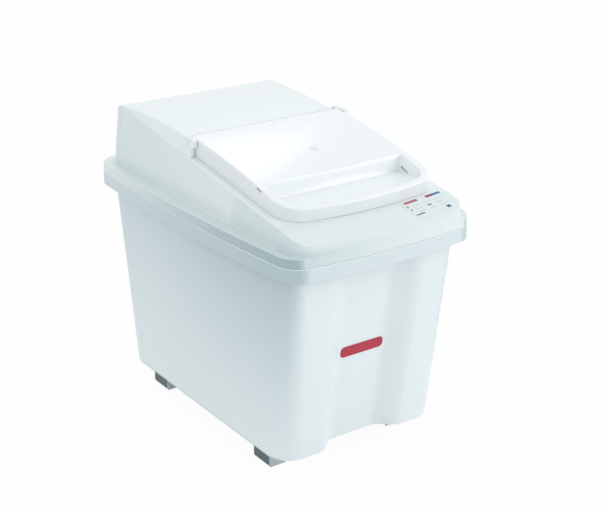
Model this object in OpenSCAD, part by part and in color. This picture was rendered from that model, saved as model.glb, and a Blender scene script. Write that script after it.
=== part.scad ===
// Rolling flour bin: a tapered tub on four swivel castors, with a lift-off hood and a hinged flap.
// Frame: +Z up from the floor, the front of the bin faces -Y, origin under the middle of the rim.

/* [Tub] */
// Length of the rim between its corners, before its ends bow out
rim_length = 600; // [560:2:660]
// Width of the rim between its corners, before its sides bow out
rim_width = 351; // [330:1:390]
// Outward bow of each long side of the rim
side_bow = 13.5; // [6:0.5:18]
// Outward bow of each end of the rim
end_bow = 14; // [6:0.5:18]
// Corner radius of the rim
rim_corner = 30; // [24:1:40]
// How far the rim overhangs the tub wall
rim_overhang = 16; // [12:0.5:20]
// Height of the rim's down-turned lip
rim_drop = 23; // [14:0.5:34]
// Corner radius of the tub wall under the rim
neck_corner = 24; // [16:1:34]
// Height of the tub from its lower edge to the top of its rim
tub_height = 351; // [300:1:420]
// Width of the tub at its lower edge
base_width = 314; // [300:1:330]
// Length of the tub at its lower edge
base_length = 494; // [460:1:540]
// Corner radius of the tub at its lower edge
base_corner = 42; // [30:1:55]
// Wall thickness of the tub
tub_wall = 3; // [2:0.25:4]

/* [Front channel] */
// Width of the channel where it leaves the front wall
channel_mouth = 152; // [120:1:180]
// Width of the flat panel at the back of the channel
channel_panel = 92; // [70:1:110]
// Depth of the channel
channel_depth = 26; // [12:0.5:34]
// Width of the badge plate
badge_width = 84; // [60:1:88]
// Height of the badge plate
badge_height = 18.5; // [12:0.5:28]
// Thickness of the badge plate
badge_thick = 1.2; // [0.6:0.1:2]
// Height of the badge plate's middle above the tub's lower edge
badge_rise = 163; // [110:1:250]

/* [Hood] */
// Wall thickness of the hood
hood_wall = 3; // [2:0.25:4]
// Height of the hood's lip, which stands on the rim
hood_lip = 16; // [12:0.5:24]
// How far the hood's lip stands in from the rim's edge
lip_inset = 1; // [0.5:0.25:3]
// How far the hood's front stands in from its lip
front_step = 1; // [0.5:0.25:3]
// Width of the ledge between the hood's lip and the foot of its walls
hood_ledge = 15; // [12:0.5:18]
// Corner radius of the hood's walls
hood_corner = 25; // [18:1:32]
// How far each side wall leans in from foot to crown
side_lean = 4.5; // [2:0.25:7]
// How far the rear wall leans in from foot to crown
rear_lean = 16; // [8:0.5:22]
// Height of the crown above the ledge
crown_rise = 109.5; // [104:0.5:118]
// Length of the crown from the foot of the rear wall to the hinge step
crown_length = 248; // [225:1:265]
// Distance of the crown's highest line from the foot of the rear wall
crown_peak = 84; // [60:1:110]
// Radius of the crown's arch, front to back
crown_radius = 1380; // [1100:10:1700]
// Radius of the crown's rear edge
crown_edge = 36; // [14:1:44]
// Height of the deck above the ledge at the hinge step
deck_rise = 78; // [72:0.5:82]
// Height of the deck above the ledge at the front of the flap
deck_front = 30; // [26:0.5:36]
// Length of the apron between the flap and the front edge
apron_length = 58; // [50:1:70]
// Height of the apron's front edge above the ledge
apron_front = 13; // [8:0.5:18]
// Drop from the deck to the fold line of each flank
flank_drop = 8; // [5:0.5:12]
// Inward lean of each flank above its fold line, in degrees
flank_lean = 12; // [8:0.5:16]
// Depth of the rib that locates the hood inside the tub
plug_depth = 10; // [6:0.5:16]
// Thickness of that rib
plug_wall = 2.5; // [2:0.25:4]
// Gap between that rib and the tub wall
plug_gap = 1; // [0.5:0.25:2]
// Height of the coaming round the mouth
coaming_rise = 9; // [6:0.5:11]
// Thickness of the coaming
coaming_wall = 3; // [2:0.25:4]
// Width of the date label
label_width = 84; // [60:1:95]
// Height of the date label, up the apron
label_height = 46; // [30:1:50]
// Thickness of the date label
label_thick = 0.6; // [0.4:0.1:1]
// Turn of the date label on the apron, in degrees
label_turn = 6; // [0:1:8]
// Distance of the date label's middle from the bin's middle
label_side = 103; // [85:1:106]

/* [Flap] */
// Wall thickness of the flap
flap_wall = 3; // [2:0.25:3.5]
// Distance of the flap's side from the foot of the hood's side wall
flap_inset = 13.5; // [12:0.5:18]
// Radius of the flap's front corners
flap_corner = 34; // [28:1:45]
// Forward bow of the flap's front edge
flap_bow = 14; // [8:0.5:18]
// Height of the flap's front edge above the deck
flap_front_height = 20; // [18:0.5:26]
// Height of the flap's arch above the straight line from hinge to front
flap_crown = 7; // [3:0.25:10]
// Distance of the grip's riser from the flap's front edge
grip_length = 88; // [70:1:110]
// Width of the rim left beside the grip
grip_margin = 14; // [12:0.5:20]
// Width of the lip left in front of the grip
grip_front = 9; // [7:0.5:14]
// Depth of the grip's floor below the flap's front edge
grip_lip = 3; // [1.5:0.25:4]
// Radius of the grip's front corners
grip_corner = 24; // [16:1:26]
// Gap between the flap's skirt and the coaming
coaming_gap = 1.5; // [1:0.25:2.5]

/* [Hinge] */
// Distance of the hinge line from the hinge step
hinge_setback = 14; // [13:0.5:18]
// Height of the hinge line above the deck at the hinge step
hinge_lift = 18; // [16:0.5:21]
// Height of the flap's top above the hinge line
hinge_cover = 9; // [8.5:0.25:10]
// Radius of the flap's hinge barrel
barrel_radius = 8; // [6:0.25:8.5]
// Length of each hinge lug
lug_length = 44; // [30:1:50]
// Height of each hinge lug
lug_height = 18; // [14:0.5:20]
// Thickness of each hinge lug
lug_thick = 8; // [5:0.5:9]
// Gap between each lug and the flap's side
lug_gap = 0.7; // [0.4:0.1:1.5]
// Diameter of the hinge pins
pin_d = 6; // [4:0.25:8]
// Diameter of the hinge pins' heads
pin_head_d = 11; // [9:0.5:14]
// Thickness of the hinge pins' heads
pin_head = 2; // [1:0.25:3]
// How far each pin reaches into the barrel
pin_reach = 14; // [8:0.5:24]

/* [Castors] */
// Diameter of the wheels over their tread
wheel_d = 38; // [34:1:46]
// Width of the wheels
wheel_width = 20; // [16:0.5:24]
// Thickness of the tread
tread = 4.5; // [3:0.25:6]
// Diameter of the axles
axle_d = 6; // [5:0.25:8]
// Distance the wheel trails behind the swivel axis
trail = 10; // [6:0.5:14]
// Length of the fork's cheeks
cheek_length = 46; // [40:1:52]
// Thickness of the fork's cheeks
cheek_wall = 4.5; // [3:0.25:6]
// Gap between the wheel and each cheek
cheek_gap = 1; // [0.5:0.25:2]
// Height of the fork's lower edge above the floor
cheek_clear = 5.5; // [3:0.5:8]
// Gap between the wheel and the fork's roof
roof_gap = 1.2; // [0.8:0.1:3]
// Thickness of the fork's roof between its cheeks
cheek_roof = 1.8; // [1.4:0.1:4]
// Height of the fork's hub above the underside of its roof
hub_height = 11; // [9:0.5:14]
// Radius of the fork's hub
hub_radius = 12; // [11:0.5:14]
// Diameter of the castor stems
stem_d = 8; // [6:0.25:10]
// Diameter of the stems' lower heads
stem_head_d = 13; // [11:0.5:14]
// Thickness of the stems' lower heads
stem_head = 2.5; // [2:0.25:4]
// Diameter of the stems' collars
collar_d = 19; // [16:0.5:22]
// Thickness of the stems' collars
collar_thick = 2; // [1:0.25:4]
// Outer diameter of the stem sockets
socket_d = 13; // [12:0.25:15]
// Depth of the stem sockets
socket_depth = 16; // [12:0.5:24]
// Diameter of the bosses that hold the sockets
boss_d = 24; // [20:0.5:30]
// Gap between the top of a turning castor's cheeks and the tub's lower edge
castor_clear = 1; // [0.6:0.1:6]
// Distance of each swivel axis from the tub's side
castor_side = 37; // [30:0.5:60]
// Distance of each swivel axis from the tub's front or rear edge
castor_inset = 81; // [75:1:120]
// Thickness of the ribs under the tub's floor
rib_wall = 3; // [2:0.25:4]
// Depth of the ribs under the tub's floor
rib_depth = 8; // [5:0.5:12]

/* [Fits] */
// Radial clearance of pins, axles, stems and sockets
run_gap = 0.05; // [0.02:0.01:0.1]
// Clearance between faces that rest or slide on each other
seat_gap = 0.3; // [0.1:0.05:0.4]

/* [Hidden] */
$fn = 64;
// How far a cut runs past the face that it opens
overrun = 1;
// Share of the rim's bow that the tub wall has under the rim
neck_bow_share = 0.7;
// Shares of the cheek's length that round its corners: lower front, lower rear, upper rear, upper front
cheek_corner_shares = [0.08, 0.1, 0.3, 0.08];
// Share of the way from a wheel's bore to its rim that its hub takes, and share of its width left as its web
hub_rim_share = 0.42;
web_share = 0.4;
// Share of the tread that its shoulders are chamfered by
shoulder_share = 0.3;
// Share of the barrel's radius that the flap's top covers behind the hinge line
cover_share = 0.25;
// Shares of the badge's and the label's height that round their corners
badge_corner_share = 0.34;
label_corner_share = 0.05;
// Share of the crown edge's radius from its middle to the rear wall
edge_share = 0.96;
// Steps of each corner, each side and each arch
corner_steps = 6;
side_steps = 6;
arch_steps = 10;

// Heights above the floor
axle_z = wheel_d / 2;
roof_z = wheel_d + roof_gap;
cheek_top = roof_z + cheek_roof;
fork_top = roof_z + hub_height;
boss_z = fork_top + seat_gap + collar_thick;
floor_z = boss_z + socket_depth;
skirt_gap = cheek_top + castor_clear;
rim_z = skirt_gap + tub_height;
ledge_z = rim_z + hood_lip;

// Tub wall under the rim
neck_width = rim_width - 2 * rim_overhang;
neck_length = rim_length - 2 * rim_overhang;
no_channel = [channel_mouth / 2, channel_panel / 2, 0];
channel_slant = atan(channel_depth / ((channel_mouth - channel_panel) / 2));

// Hood walls
hood_half = rim_width / 2 - lip_inset - hood_ledge;
hood_front = -rim_length / 2 + lip_inset + front_step;
hood_rear = rim_length / 2 - lip_inset - hood_ledge;
hood_top = ledge_z + crown_rise + crown_edge;
lean_scale = (crown_rise + crown_edge) / crown_rise;
step_y = hood_rear - crown_length;
crown_y = hood_rear - crown_peak;
apron_y = hood_front - end_bow + apron_length;
deck_slope = (deck_rise - deck_front) / (step_y - apron_y);
apron_slope = (deck_front - apron_front) / apron_length;
reach = rim_length + rim_width;

// Flap and hinge
flap_half = hood_half - flap_inset;
flap_front = apron_y;
hinge_y = step_y - hinge_setback;
hinge_z = ledge_z + deck_rise + hinge_lift;
flap_rear = hinge_y + cover_share * barrel_radius;
flap_rear_z = hinge_z + hinge_cover;
flap_front_z = ledge_z + deck_front + flap_front_height;
grip_z = flap_front_z - grip_lip;
grip_y = flap_front + grip_length;
coaming_rear = hinge_y - barrel_radius - coaming_wall - coaming_gap;
coaming_inset = flap_wall + coaming_gap;
lug_x = flap_half + lug_gap;

// Castors
fork_inner = wheel_width / 2 + cheek_gap;
fork_half = fork_inner + cheek_wall;
castor_x = base_width / 2 - castor_side;
castor_y = base_length / 2 - castor_inset;
CORNERS = [["front_left", -1, -1], ["front_right", 1, -1], ["rear_left", -1, 1], ["rear_right", 1, 1]];

CASTOR_PIECES = ["socket", "stem", "fork", "axle", "wheel", "tyre"];

function lerp(a, b, t) = a + (b - a) * t;

// Quarter of a circle round [x, y], anticlockwise from the given angle
function quarter(x, y, r, from) =
    [for (i = [0 : corner_steps]) let (a = from + 90 * i / corner_steps) [x + r * cos(a), y + r * sin(a)]];

// A point of an outline moved out by the bows [sides, front, rear]
function bowed(p, w, y0, y1, bows) =
    let (
        u = 2 * p.x / w,
        v = (2 * p.y - y0 - y1) / (y1 - y0),
        end = v < 0 ? -bows[1] : bows[2]
    )
    [p.x + sign(u) * bows[0] * (1 - v * v), p.y + end * (1 - u * u)];

// Share of the channel's depth at a distance from the middle
function channel_share(x, channel) =
    max(0, min(1, (channel[0] - abs(x)) / (channel[0] - channel[1])));

// Rounded anticlockwise outline with bowed sides; its front holds the channel [half mouth, half panel, depth]
function outline(w, y0, y1, r, bows, channel) =
    let (
        xc = w / 2 - r,
        ys = [for (i = [1 : side_steps - 1]) lerp(y0 + r, y1 - r, i / side_steps)],
        xs = [for (i = [1 : side_steps - 1]) lerp(xc, -xc, i / side_steps)],
        half = [channel[1] / 2, channel[1], channel[0], (channel[0] + xc) / 2],
        front = concat([for (i = [3 : -1 : 0]) -half[i]], [0], half)
    )
    concat(
        [for (p = concat(
            quarter(xc, y0 + r, r, -90),
            [for (y = ys) [w / 2, y]],
            quarter(xc, y1 - r, r, 0),
            [for (x = xs) [x, y1]],
            quarter(-xc, y1 - r, r, 90),
            [for (i = [side_steps - 2 : -1 : 0]) [-w / 2, ys[i]]],
            quarter(-xc, y0 + r, r, 180)
        )) bowed(p, w, y0, y1, bows)],
        [for (x = front)
            bowed([x, y0], w, y0, y1, bows) + [0, channel[2] * channel_share(x, channel)]]
    );

function lifted(points, z) = [for (p = points) [p.x, p.y, z]];

// Outline of the tub wall at a height, drawn in from its outer face
function wall_outline(z, inset) =
    let (
        t = (z - skirt_gap) / tub_height,
        w = lerp(base_width, neck_width, t) - 2 * inset,
        l = lerp(base_length, neck_length, t) - 2 * inset,
        r = lerp(base_corner, neck_corner, t) - inset,
        bow = neck_bow_share * t,
        shift = inset * tan(channel_slant / 2)
    )
    outline(w, -l / 2, l / 2, r, bow * [side_bow, end_bow, end_bow],
        [channel_mouth / 2 + shift, channel_panel / 2 + shift, channel_depth]);

function wall_loop(z, inset) = lifted(wall_outline(z, inset), z);

// Outline of the rim, drawn in from its edge
function rim_loop(z, inset) =
    lifted(
        outline(rim_width - 2 * inset, inset - rim_length / 2, rim_length / 2 - inset, rim_corner - inset,
            [side_bow, end_bow, end_bow], no_channel),
        z
    );

// Outline of the hood's walls, drawn in from their outer face, with a share of their lean; the bow of the
// rear wall fades out from its foot to the crown's edge
function hood_loop(z, inset, share) =
    lifted(
        outline(2 * (hood_half - side_lean * share - inset), hood_front + inset,
            hood_rear - rear_lean * share - inset, hood_corner - inset,
            [0, end_bow, end_bow * (1 - share / (1 - crown_edge / crown_rise))], no_channel),
        z
    );
function rear_y(z) = hood_rear - rear_lean * (z - ledge_z) / crown_rise;

function crown_z(y) = ledge_z + crown_rise - (y - crown_y) * (y - crown_y) / (2 * crown_radius);
function deck_z(y) = ledge_z + deck_rise - deck_slope * (step_y - y);
function apron_z(y) = ledge_z + deck_front - apron_slope * (apron_y - y);
function flap_top(y) =
    let (f = (y - flap_front) / (flap_rear - flap_front))
    lerp(flap_front_z, flap_rear_z, f) + 4 * flap_crown * f * (1 - f);

// Side view of the hood, drawn in from its outer face
function hood_profile(inset, bottom) =
    let (
        front = hood_front - end_bow - overrun,
        rear = hood_rear + end_bow + overrun,
        edge = crown_edge - inset,
        top_y = hood_rear - rear_lean - crown_edge,
        edge_y = rear_y(crown_z(top_y) - crown_edge) - inset - edge_share * edge,
        edge_z = crown_z(edge_y) - inset - edge
    )
    concat(
        [[front, bottom], [rear, bottom], [rear, edge_z]],
        quarter(edge_y, edge_z, edge, 0),
        [for (i = [1 : arch_steps])
            let (y = lerp(edge_y, step_y + inset, i / arch_steps)) [y, crown_z(y) - inset]],
        [[step_y + inset, deck_z(step_y + inset) - inset]],
        [[apron_y, deck_z(apron_y) - inset], [front, apron_z(front) - inset]]
    );

// Side view of the flap between a lower line and its arched top, drawn in from its outer face
function flap_profile(inset, lower) =
    concat(
        [[-reach, deck_z(-reach) + lower], [reach, deck_z(reach) + lower]],
        [for (i = [0 : arch_steps])
            let (y = lerp(flap_rear + overrun, flap_front - overrun, i / arch_steps))
                [y, flap_top(y) - inset]]
    );

// Plan of the flap, drawn in from its sides and front, and ending at a rear line
function flap_points(inset, rear) =
    let (
        half = flap_half - inset,
        r = flap_corner - inset,
        y0 = flap_front + flap_bow + inset,
        front = concat(
            quarter(-half + r, y0 + r, r, 180),
            [for (i = [1 : side_steps - 1]) [lerp(r - half, half - r, i / side_steps), y0]],
            quarter(half - r, y0 + r, r, -90)
        )
    )
    concat(
        [for (p = front) [p.x, p.y - flap_bow * (1 - p.x * p.x / (half * half))]],
        [[half, rear], [-half, rear]]
    );

// Plan of the grip, grown by a margin
function grip_points(grow) =
    let (
        half = flap_half - grip_margin + grow,
        r = grip_corner + grow,
        y0 = flap_front + flap_bow + grip_front - grow,
        front = concat(
            quarter(-half + r, y0 + r, r, 180),
            [for (i = [1 : side_steps - 1]) [lerp(r - half, half - r, i / side_steps), y0]],
            quarter(half - r, y0 + r, r, -90)
        )
    )
    concat(
        [for (p = front) [p.x, p.y - flap_bow * (1 - p.x * p.x / (half * half))]],
        [[half, grip_y + grow], [-half, grip_y + grow]]
    );

// Oblong with rounded corners between two of its corners, with a radius for each one, anticlockwise
function oblong(x0, y0, x1, y1, radii) =
    concat(
        quarter(x0 + radii[0], y0 + radii[0], radii[0], 180),
        quarter(x1 - radii[1], y0 + radii[1], radii[1], -90),
        quarter(x1 - radii[2], y1 - radii[2], radii[2], 0),
        quarter(x0 + radii[3], y1 - radii[3], radii[3], 90)
    );

// Solid through a stack of outlines; a ring joins its last outline to its first instead of closing its ends
module loft(loops, ring = false) {
    n = len(loops[0]);
    count = len(loops);
    walls = [
        for (k = [0 : count - (ring ? 1 : 2)], i = [0 : n - 1])
            let (a = k * n, b = ((k + 1) % count) * n, j = (i + 1) % n)
                each [[a + i, b + i, b + j], [a + i, b + j, a + j]]
    ];
    caps = [[for (i = [0 : n - 1]) i], [for (i = [n - 1 : -1 : 0]) (count - 1) * n + i]];
    polyhedron([for (loop = loops) each loop], ring ? walls : concat(walls, caps), convexity = 10);
}

// Prism of a side view across the bin
module across(points, half) {
    rotate([90, 0, 90]) linear_extrude(2 * half, center = true) polygon(points);
}

// Cylinder along X from one place to another
module rod(x0, x1, d) {
    translate([min(x0, x1), 0, 0]) rotate([0, 90, 0]) cylinder(h = abs(x1 - x0), d = d);
}

// Flat plate with rounded corners about its middle
module plate(width, height, thick, r) {
    linear_extrude(height = thick)
        polygon(oblong(-width / 2, -height / 2, width / 2, height / 2, [r, r, r, r]));
}

module at_castor(corner) {
    translate([corner[1] * castor_x, corner[2] * castor_y, 0]) children();
}

module at_axle(corner) {
    at_castor(corner) translate([0, trail, axle_z]) children();
}

// Walls with the rim turned over at the top, and the floor let into the walls
module tub_shell() {
    lip_under = rim_z - tub_wall;
    loft([
        wall_loop(skirt_gap, tub_wall),
        wall_loop(skirt_gap, 0),
        wall_loop(lip_under, 0),
        rim_loop(lip_under, tub_wall),
        rim_loop(rim_z - rim_drop, tub_wall),
        rim_loop(rim_z - rim_drop, 0),
        rim_loop(rim_z, 0),
        wall_loop(rim_z, tub_wall)
    ], ring = true);
    translate([0, 0, floor_z]) linear_extrude(tub_wall) polygon(wall_outline(floor_z, tub_wall / 2));
}

// Ribs and bosses under the floor, let into it by half its thickness
module tub_underside() {
    top = floor_z + tub_wall / 2;
    for (corner = CORNERS)
        at_castor(corner) translate([0, 0, boss_z]) cylinder(h = top - boss_z, d = boss_d);
    for (side = [-1, 1]) {
        translate([side * castor_x - rib_wall / 2, -castor_y, floor_z - rib_depth])
            cube([rib_wall, 2 * castor_y, top - floor_z + rib_depth]);
        translate([-base_width / 2 + tub_wall / 2, side * castor_y - rib_wall / 2, floor_z - rib_depth])
            cube([base_width - tub_wall, rib_wall, top - floor_z + rib_depth]);
    }
}

module tub() {
    color("white") difference() {
        union() {
            tub_shell();
            tub_underside();
        }
        for (corner = CORNERS)
            at_castor(corner) translate([0, 0, boss_z - overrun])
                cylinder(h = socket_depth + overrun, d = socket_d + 2 * run_gap);
    }
}

// The hood's walls as a solid, drawn in from their outer face, down to a lower end
module hood_block(inset, bottom) {
    difference() {
        intersection() {
            loft([
                hood_loop(bottom, inset, 0),
                hood_loop(ledge_z, inset, 0),
                hood_loop(hood_top, inset, lean_scale)
            ]);
            across(hood_profile(inset, bottom - overrun), reach);
        }
        for (side = [-1, 1])
            translate([side * (hood_half - side_lean / 2 - inset), step_y, deck_z(step_y) - flank_drop])
                rotate([atan(deck_slope), 0, 0])
                    rotate([0, -side * flank_lean, 0])
                        translate([(side - 1) / 2 * reach, -reach, -reach])
                            cube([reach, 2 * reach, 2 * reach]);
    }
}

// Lip on the rim, with the ledge behind it and the rib that locates the hood in the tub
module hood_skirt() {
    plate_z = ledge_z - hood_wall;
    plug = tub_wall + plug_gap;
    loft([
        rim_loop(rim_z, lip_inset),
        rim_loop(ledge_z, lip_inset),
        lifted(wall_outline(rim_z, plug + plug_wall), ledge_z),
        wall_loop(rim_z - plug_depth, plug + plug_wall),
        wall_loop(rim_z - plug_depth, plug),
        lifted(wall_outline(rim_z, plug), plate_z),
        rim_loop(plate_z, lip_inset + hood_wall),
        rim_loop(rim_z, lip_inset + hood_wall)
    ], ring = true);
}

// Upstand round the mouth
module coaming() {
    intersection() {
        linear_extrude(hood_top) difference() {
            polygon(flap_points(coaming_inset, coaming_rear + coaming_wall));
            polygon(flap_points(coaming_inset + coaming_wall, coaming_rear));
        }
        across([
            [-reach, deck_z(-reach) - hood_wall / 2],
            [reach, deck_z(reach) - hood_wall / 2],
            [reach, deck_z(reach) + coaming_rise],
            [-reach, deck_z(-reach) + coaming_rise]
        ], reach);
    }
}

// Rounded lug beside the flap, with the web that carries it
module hinge_lug(side) {
    flat = lug_length - lug_height;
    translate([side > 0 ? lug_x : -lug_x - lug_thick, hinge_y, hinge_z])
        rotate([90, 0, 90]) linear_extrude(lug_thick) {
            square([flat, lug_height], center = true);
            for (end = [-1, 1])
                translate([end * flat / 2, 0]) circle(d = lug_height);
            translate([-flat / 2, -hinge_lift - deck_slope * lug_length])
                square([flat / 2 + hinge_setback + hood_wall / 2, hinge_lift + deck_slope * lug_length]);
        }
}

module hood() {
    color("aliceblue") difference() {
        union() {
            difference() {
                hood_block(0, ledge_z - hood_wall);
                hood_block(hood_wall, ledge_z - hood_wall - overrun);
            }
            hood_skirt();
            coaming();
            for (side = [-1, 1])
                hinge_lug(side);
        }
        translate([0, 0, ledge_z])
            linear_extrude(hood_top) polygon(flap_points(coaming_inset + coaming_wall, coaming_rear));
        translate([0, hinge_y, hinge_z]) rod(-reach / 2, reach / 2, pin_d + 2 * run_gap);
    }
}

module flap() {
    color("lightcyan") difference() {
        union() {
            difference() {
                intersection() {
                    linear_extrude(hood_top) polygon(flap_points(0, flap_rear));
                    across(flap_profile(0, seat_gap), reach);
                }
                intersection() {
                    linear_extrude(hood_top) polygon(flap_points(flap_wall, flap_rear + overrun));
                    across(flap_profile(flap_wall, -deck_front), reach);
                }
            }
            intersection() {
                translate([0, 0, grip_z - flap_wall])
                    linear_extrude(hood_top - grip_z) polygon(grip_points(flap_wall));
                across(flap_profile(0, seat_gap), reach);
            }
            translate([0, hinge_y, hinge_z]) rod(-flap_half, flap_half, 2 * barrel_radius);
        }
        translate([0, 0, grip_z]) linear_extrude(hood_top - grip_z) polygon(grip_points(0));
        for (side = [-1, 1])
            translate([0, hinge_y, hinge_z])
                rod(side * (flap_half - pin_reach - seat_gap), side * (flap_half + overrun),
                    pin_d + 2 * run_gap);
    }
}

module hinge_pin(side) {
    color("lightgray") translate([0, hinge_y, hinge_z]) {
        rod(side * (flap_half - pin_reach), side * (lug_x + lug_thick), pin_d);
        rod(side * (lug_x + lug_thick), side * (lug_x + lug_thick + pin_head), pin_head_d);
    }
}

module left_hinge_pin() {
    hinge_pin(-1);
}

module right_hinge_pin() {
    hinge_pin(1);
}

module date_label() {
    y = apron_y - apron_length / 2 + end_bow / 2;
    color("whitesmoke") translate([label_side, y, apron_z(y)]) rotate([atan(apron_slope), 0, 0])
        rotate(label_turn) plate(label_width, label_height, label_thick, label_corner_share * label_height);
}

module front_badge() {
    rise = badge_rise / tub_height;
    bow = end_bow * neck_bow_share;
    lean = (neck_length - base_length) / 2 + bow;
    y = -base_length / 2 - lean * rise + channel_depth;
    color("crimson") translate([0, y, skirt_gap + badge_rise])
        rotate([90 + atan(lean / tub_height), 0, 0])
            translate([0, 0, run_gap])
                plate(badge_width, badge_height, badge_thick, badge_corner_share * badge_height);
}

// Sleeve in the tub's boss
module castor_socket(corner) {
    color("dimgray") at_castor(corner) translate([0, 0, boss_z]) difference() {
        cylinder(h = socket_depth, d = socket_d);
        translate([0, 0, -overrun]) cylinder(h = socket_depth + 2 * overrun, d = stem_d + 2 * run_gap);
    }
}

// Stem with its head under the fork and its collar against the boss
module castor_stem(corner) {
    color("silver") at_castor(corner) {
        translate([0, 0, roof_z]) cylinder(h = boss_z + socket_depth - seat_gap - roof_z, d = stem_d);
        translate([0, 0, roof_z]) cylinder(h = stem_head, d = stem_head_d);
        translate([0, 0, boss_z - collar_thick]) cylinder(h = collar_thick, d = collar_d);
    }
}

module castor_fork(corner) {
    radii = cheek_corner_shares * cheek_length;
    front = trail - cheek_length / 2;
    color("dimgray") at_castor(corner) difference() {
        union() {
            across(oblong(front, cheek_clear, front + cheek_length, cheek_top, radii), fork_half);
            translate([0, 0, roof_z]) cylinder(h = hub_height, r = hub_radius);
        }
        translate([-fork_inner, -cheek_length, 0]) cube([2 * fork_inner, 2 * cheek_length + trail, roof_z]);
        translate([0, 0, roof_z - overrun]) {
            cylinder(h = hub_height + 2 * overrun, d = stem_d + 2 * run_gap);
            cylinder(h = stem_head + seat_gap + overrun, d = stem_head_d + 2 * seat_gap);
        }
        translate([0, trail, axle_z]) rod(-fork_half - overrun, fork_half + overrun, axle_d + 2 * run_gap);
    }
}

module castor_axle(corner) {
    color("silver") at_axle(corner) rod(-fork_half, fork_half, axle_d);
}

// Wheel centre: a rim and a hub joined by a thinner web
module castor_wheel(corner) {
    bore = axle_d / 2 + run_gap;
    rim = wheel_d / 2 - tread;
    hub = lerp(bore, rim, hub_rim_share);
    inner = lerp(rim, hub, hub_rim_share / 2);
    half = wheel_width / 2;
    web = half * web_share;
    color("gray") at_axle(corner) rotate([0, 90, 0]) rotate_extrude()
        polygon([
            [bore, -half], [hub, -half], [hub, -web], [inner, -web], [inner, -half], [rim, -half],
            [rim, half], [inner, half], [inner, web], [hub, web], [hub, half], [bore, half]
        ]);
}

module castor_tyre(corner) {
    seat = wheel_d / 2 - tread;
    outer = wheel_d / 2;
    half = wheel_width / 2;
    shoulder = tread * shoulder_share;
    color("darkgray") at_axle(corner) rotate([0, 90, 0]) rotate_extrude()
        polygon([
            [seat, -half], [outer - shoulder, -half], [outer, shoulder - half],
            [outer, half - shoulder], [outer - shoulder, half], [seat, half]
        ]);
}

tub();
hood();
flap();
left_hinge_pin();
right_hinge_pin();
date_label();
front_badge();
for (corner = CORNERS) {
    name = str(corner[0], "_castor_");
    castor_socket(corner);
    castor_stem(corner);
    castor_fork(corner);
    castor_axle(corner);
    castor_wheel(corner);
    castor_tyre(corner);
}
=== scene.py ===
"""Looks of the rolling flour bin: its mouldings, castors, print and studio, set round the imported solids."""
import logging
import math
from dataclasses import dataclass, field
from enum import Enum
from typing import Sequence

import bpy
import numpy as np
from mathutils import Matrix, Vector


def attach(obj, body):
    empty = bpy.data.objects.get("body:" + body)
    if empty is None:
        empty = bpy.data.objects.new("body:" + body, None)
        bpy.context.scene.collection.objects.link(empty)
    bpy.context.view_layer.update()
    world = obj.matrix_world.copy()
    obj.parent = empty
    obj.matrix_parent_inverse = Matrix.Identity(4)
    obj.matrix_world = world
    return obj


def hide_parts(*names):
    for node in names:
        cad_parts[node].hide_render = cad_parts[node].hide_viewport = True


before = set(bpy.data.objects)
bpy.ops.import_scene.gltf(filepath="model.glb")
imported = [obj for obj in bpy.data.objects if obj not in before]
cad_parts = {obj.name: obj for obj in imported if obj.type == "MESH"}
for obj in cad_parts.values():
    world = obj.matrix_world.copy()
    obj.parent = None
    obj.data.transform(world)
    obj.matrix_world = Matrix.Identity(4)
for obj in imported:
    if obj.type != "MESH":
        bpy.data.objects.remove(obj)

LOG = logging.getLogger("flour_bin")
MM = 0.001
SHADE = "shade"
PRINT = "print"
# Order of axes that lays a shape's third axis across the bin; then the bin's left and right.
ACROSS = (2, 0, 1)
SIDES = (-1, 1)
TINY = 1e-6
Array = np.ndarray
Node, Tree, Socket = bpy.types.Node, bpy.types.NodeTree, bpy.types.NodeSocket
Piece, Paint = bpy.types.Object, bpy.types.Material
Pair = tuple[float, float]
Triple = tuple[float, float, float]


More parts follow.
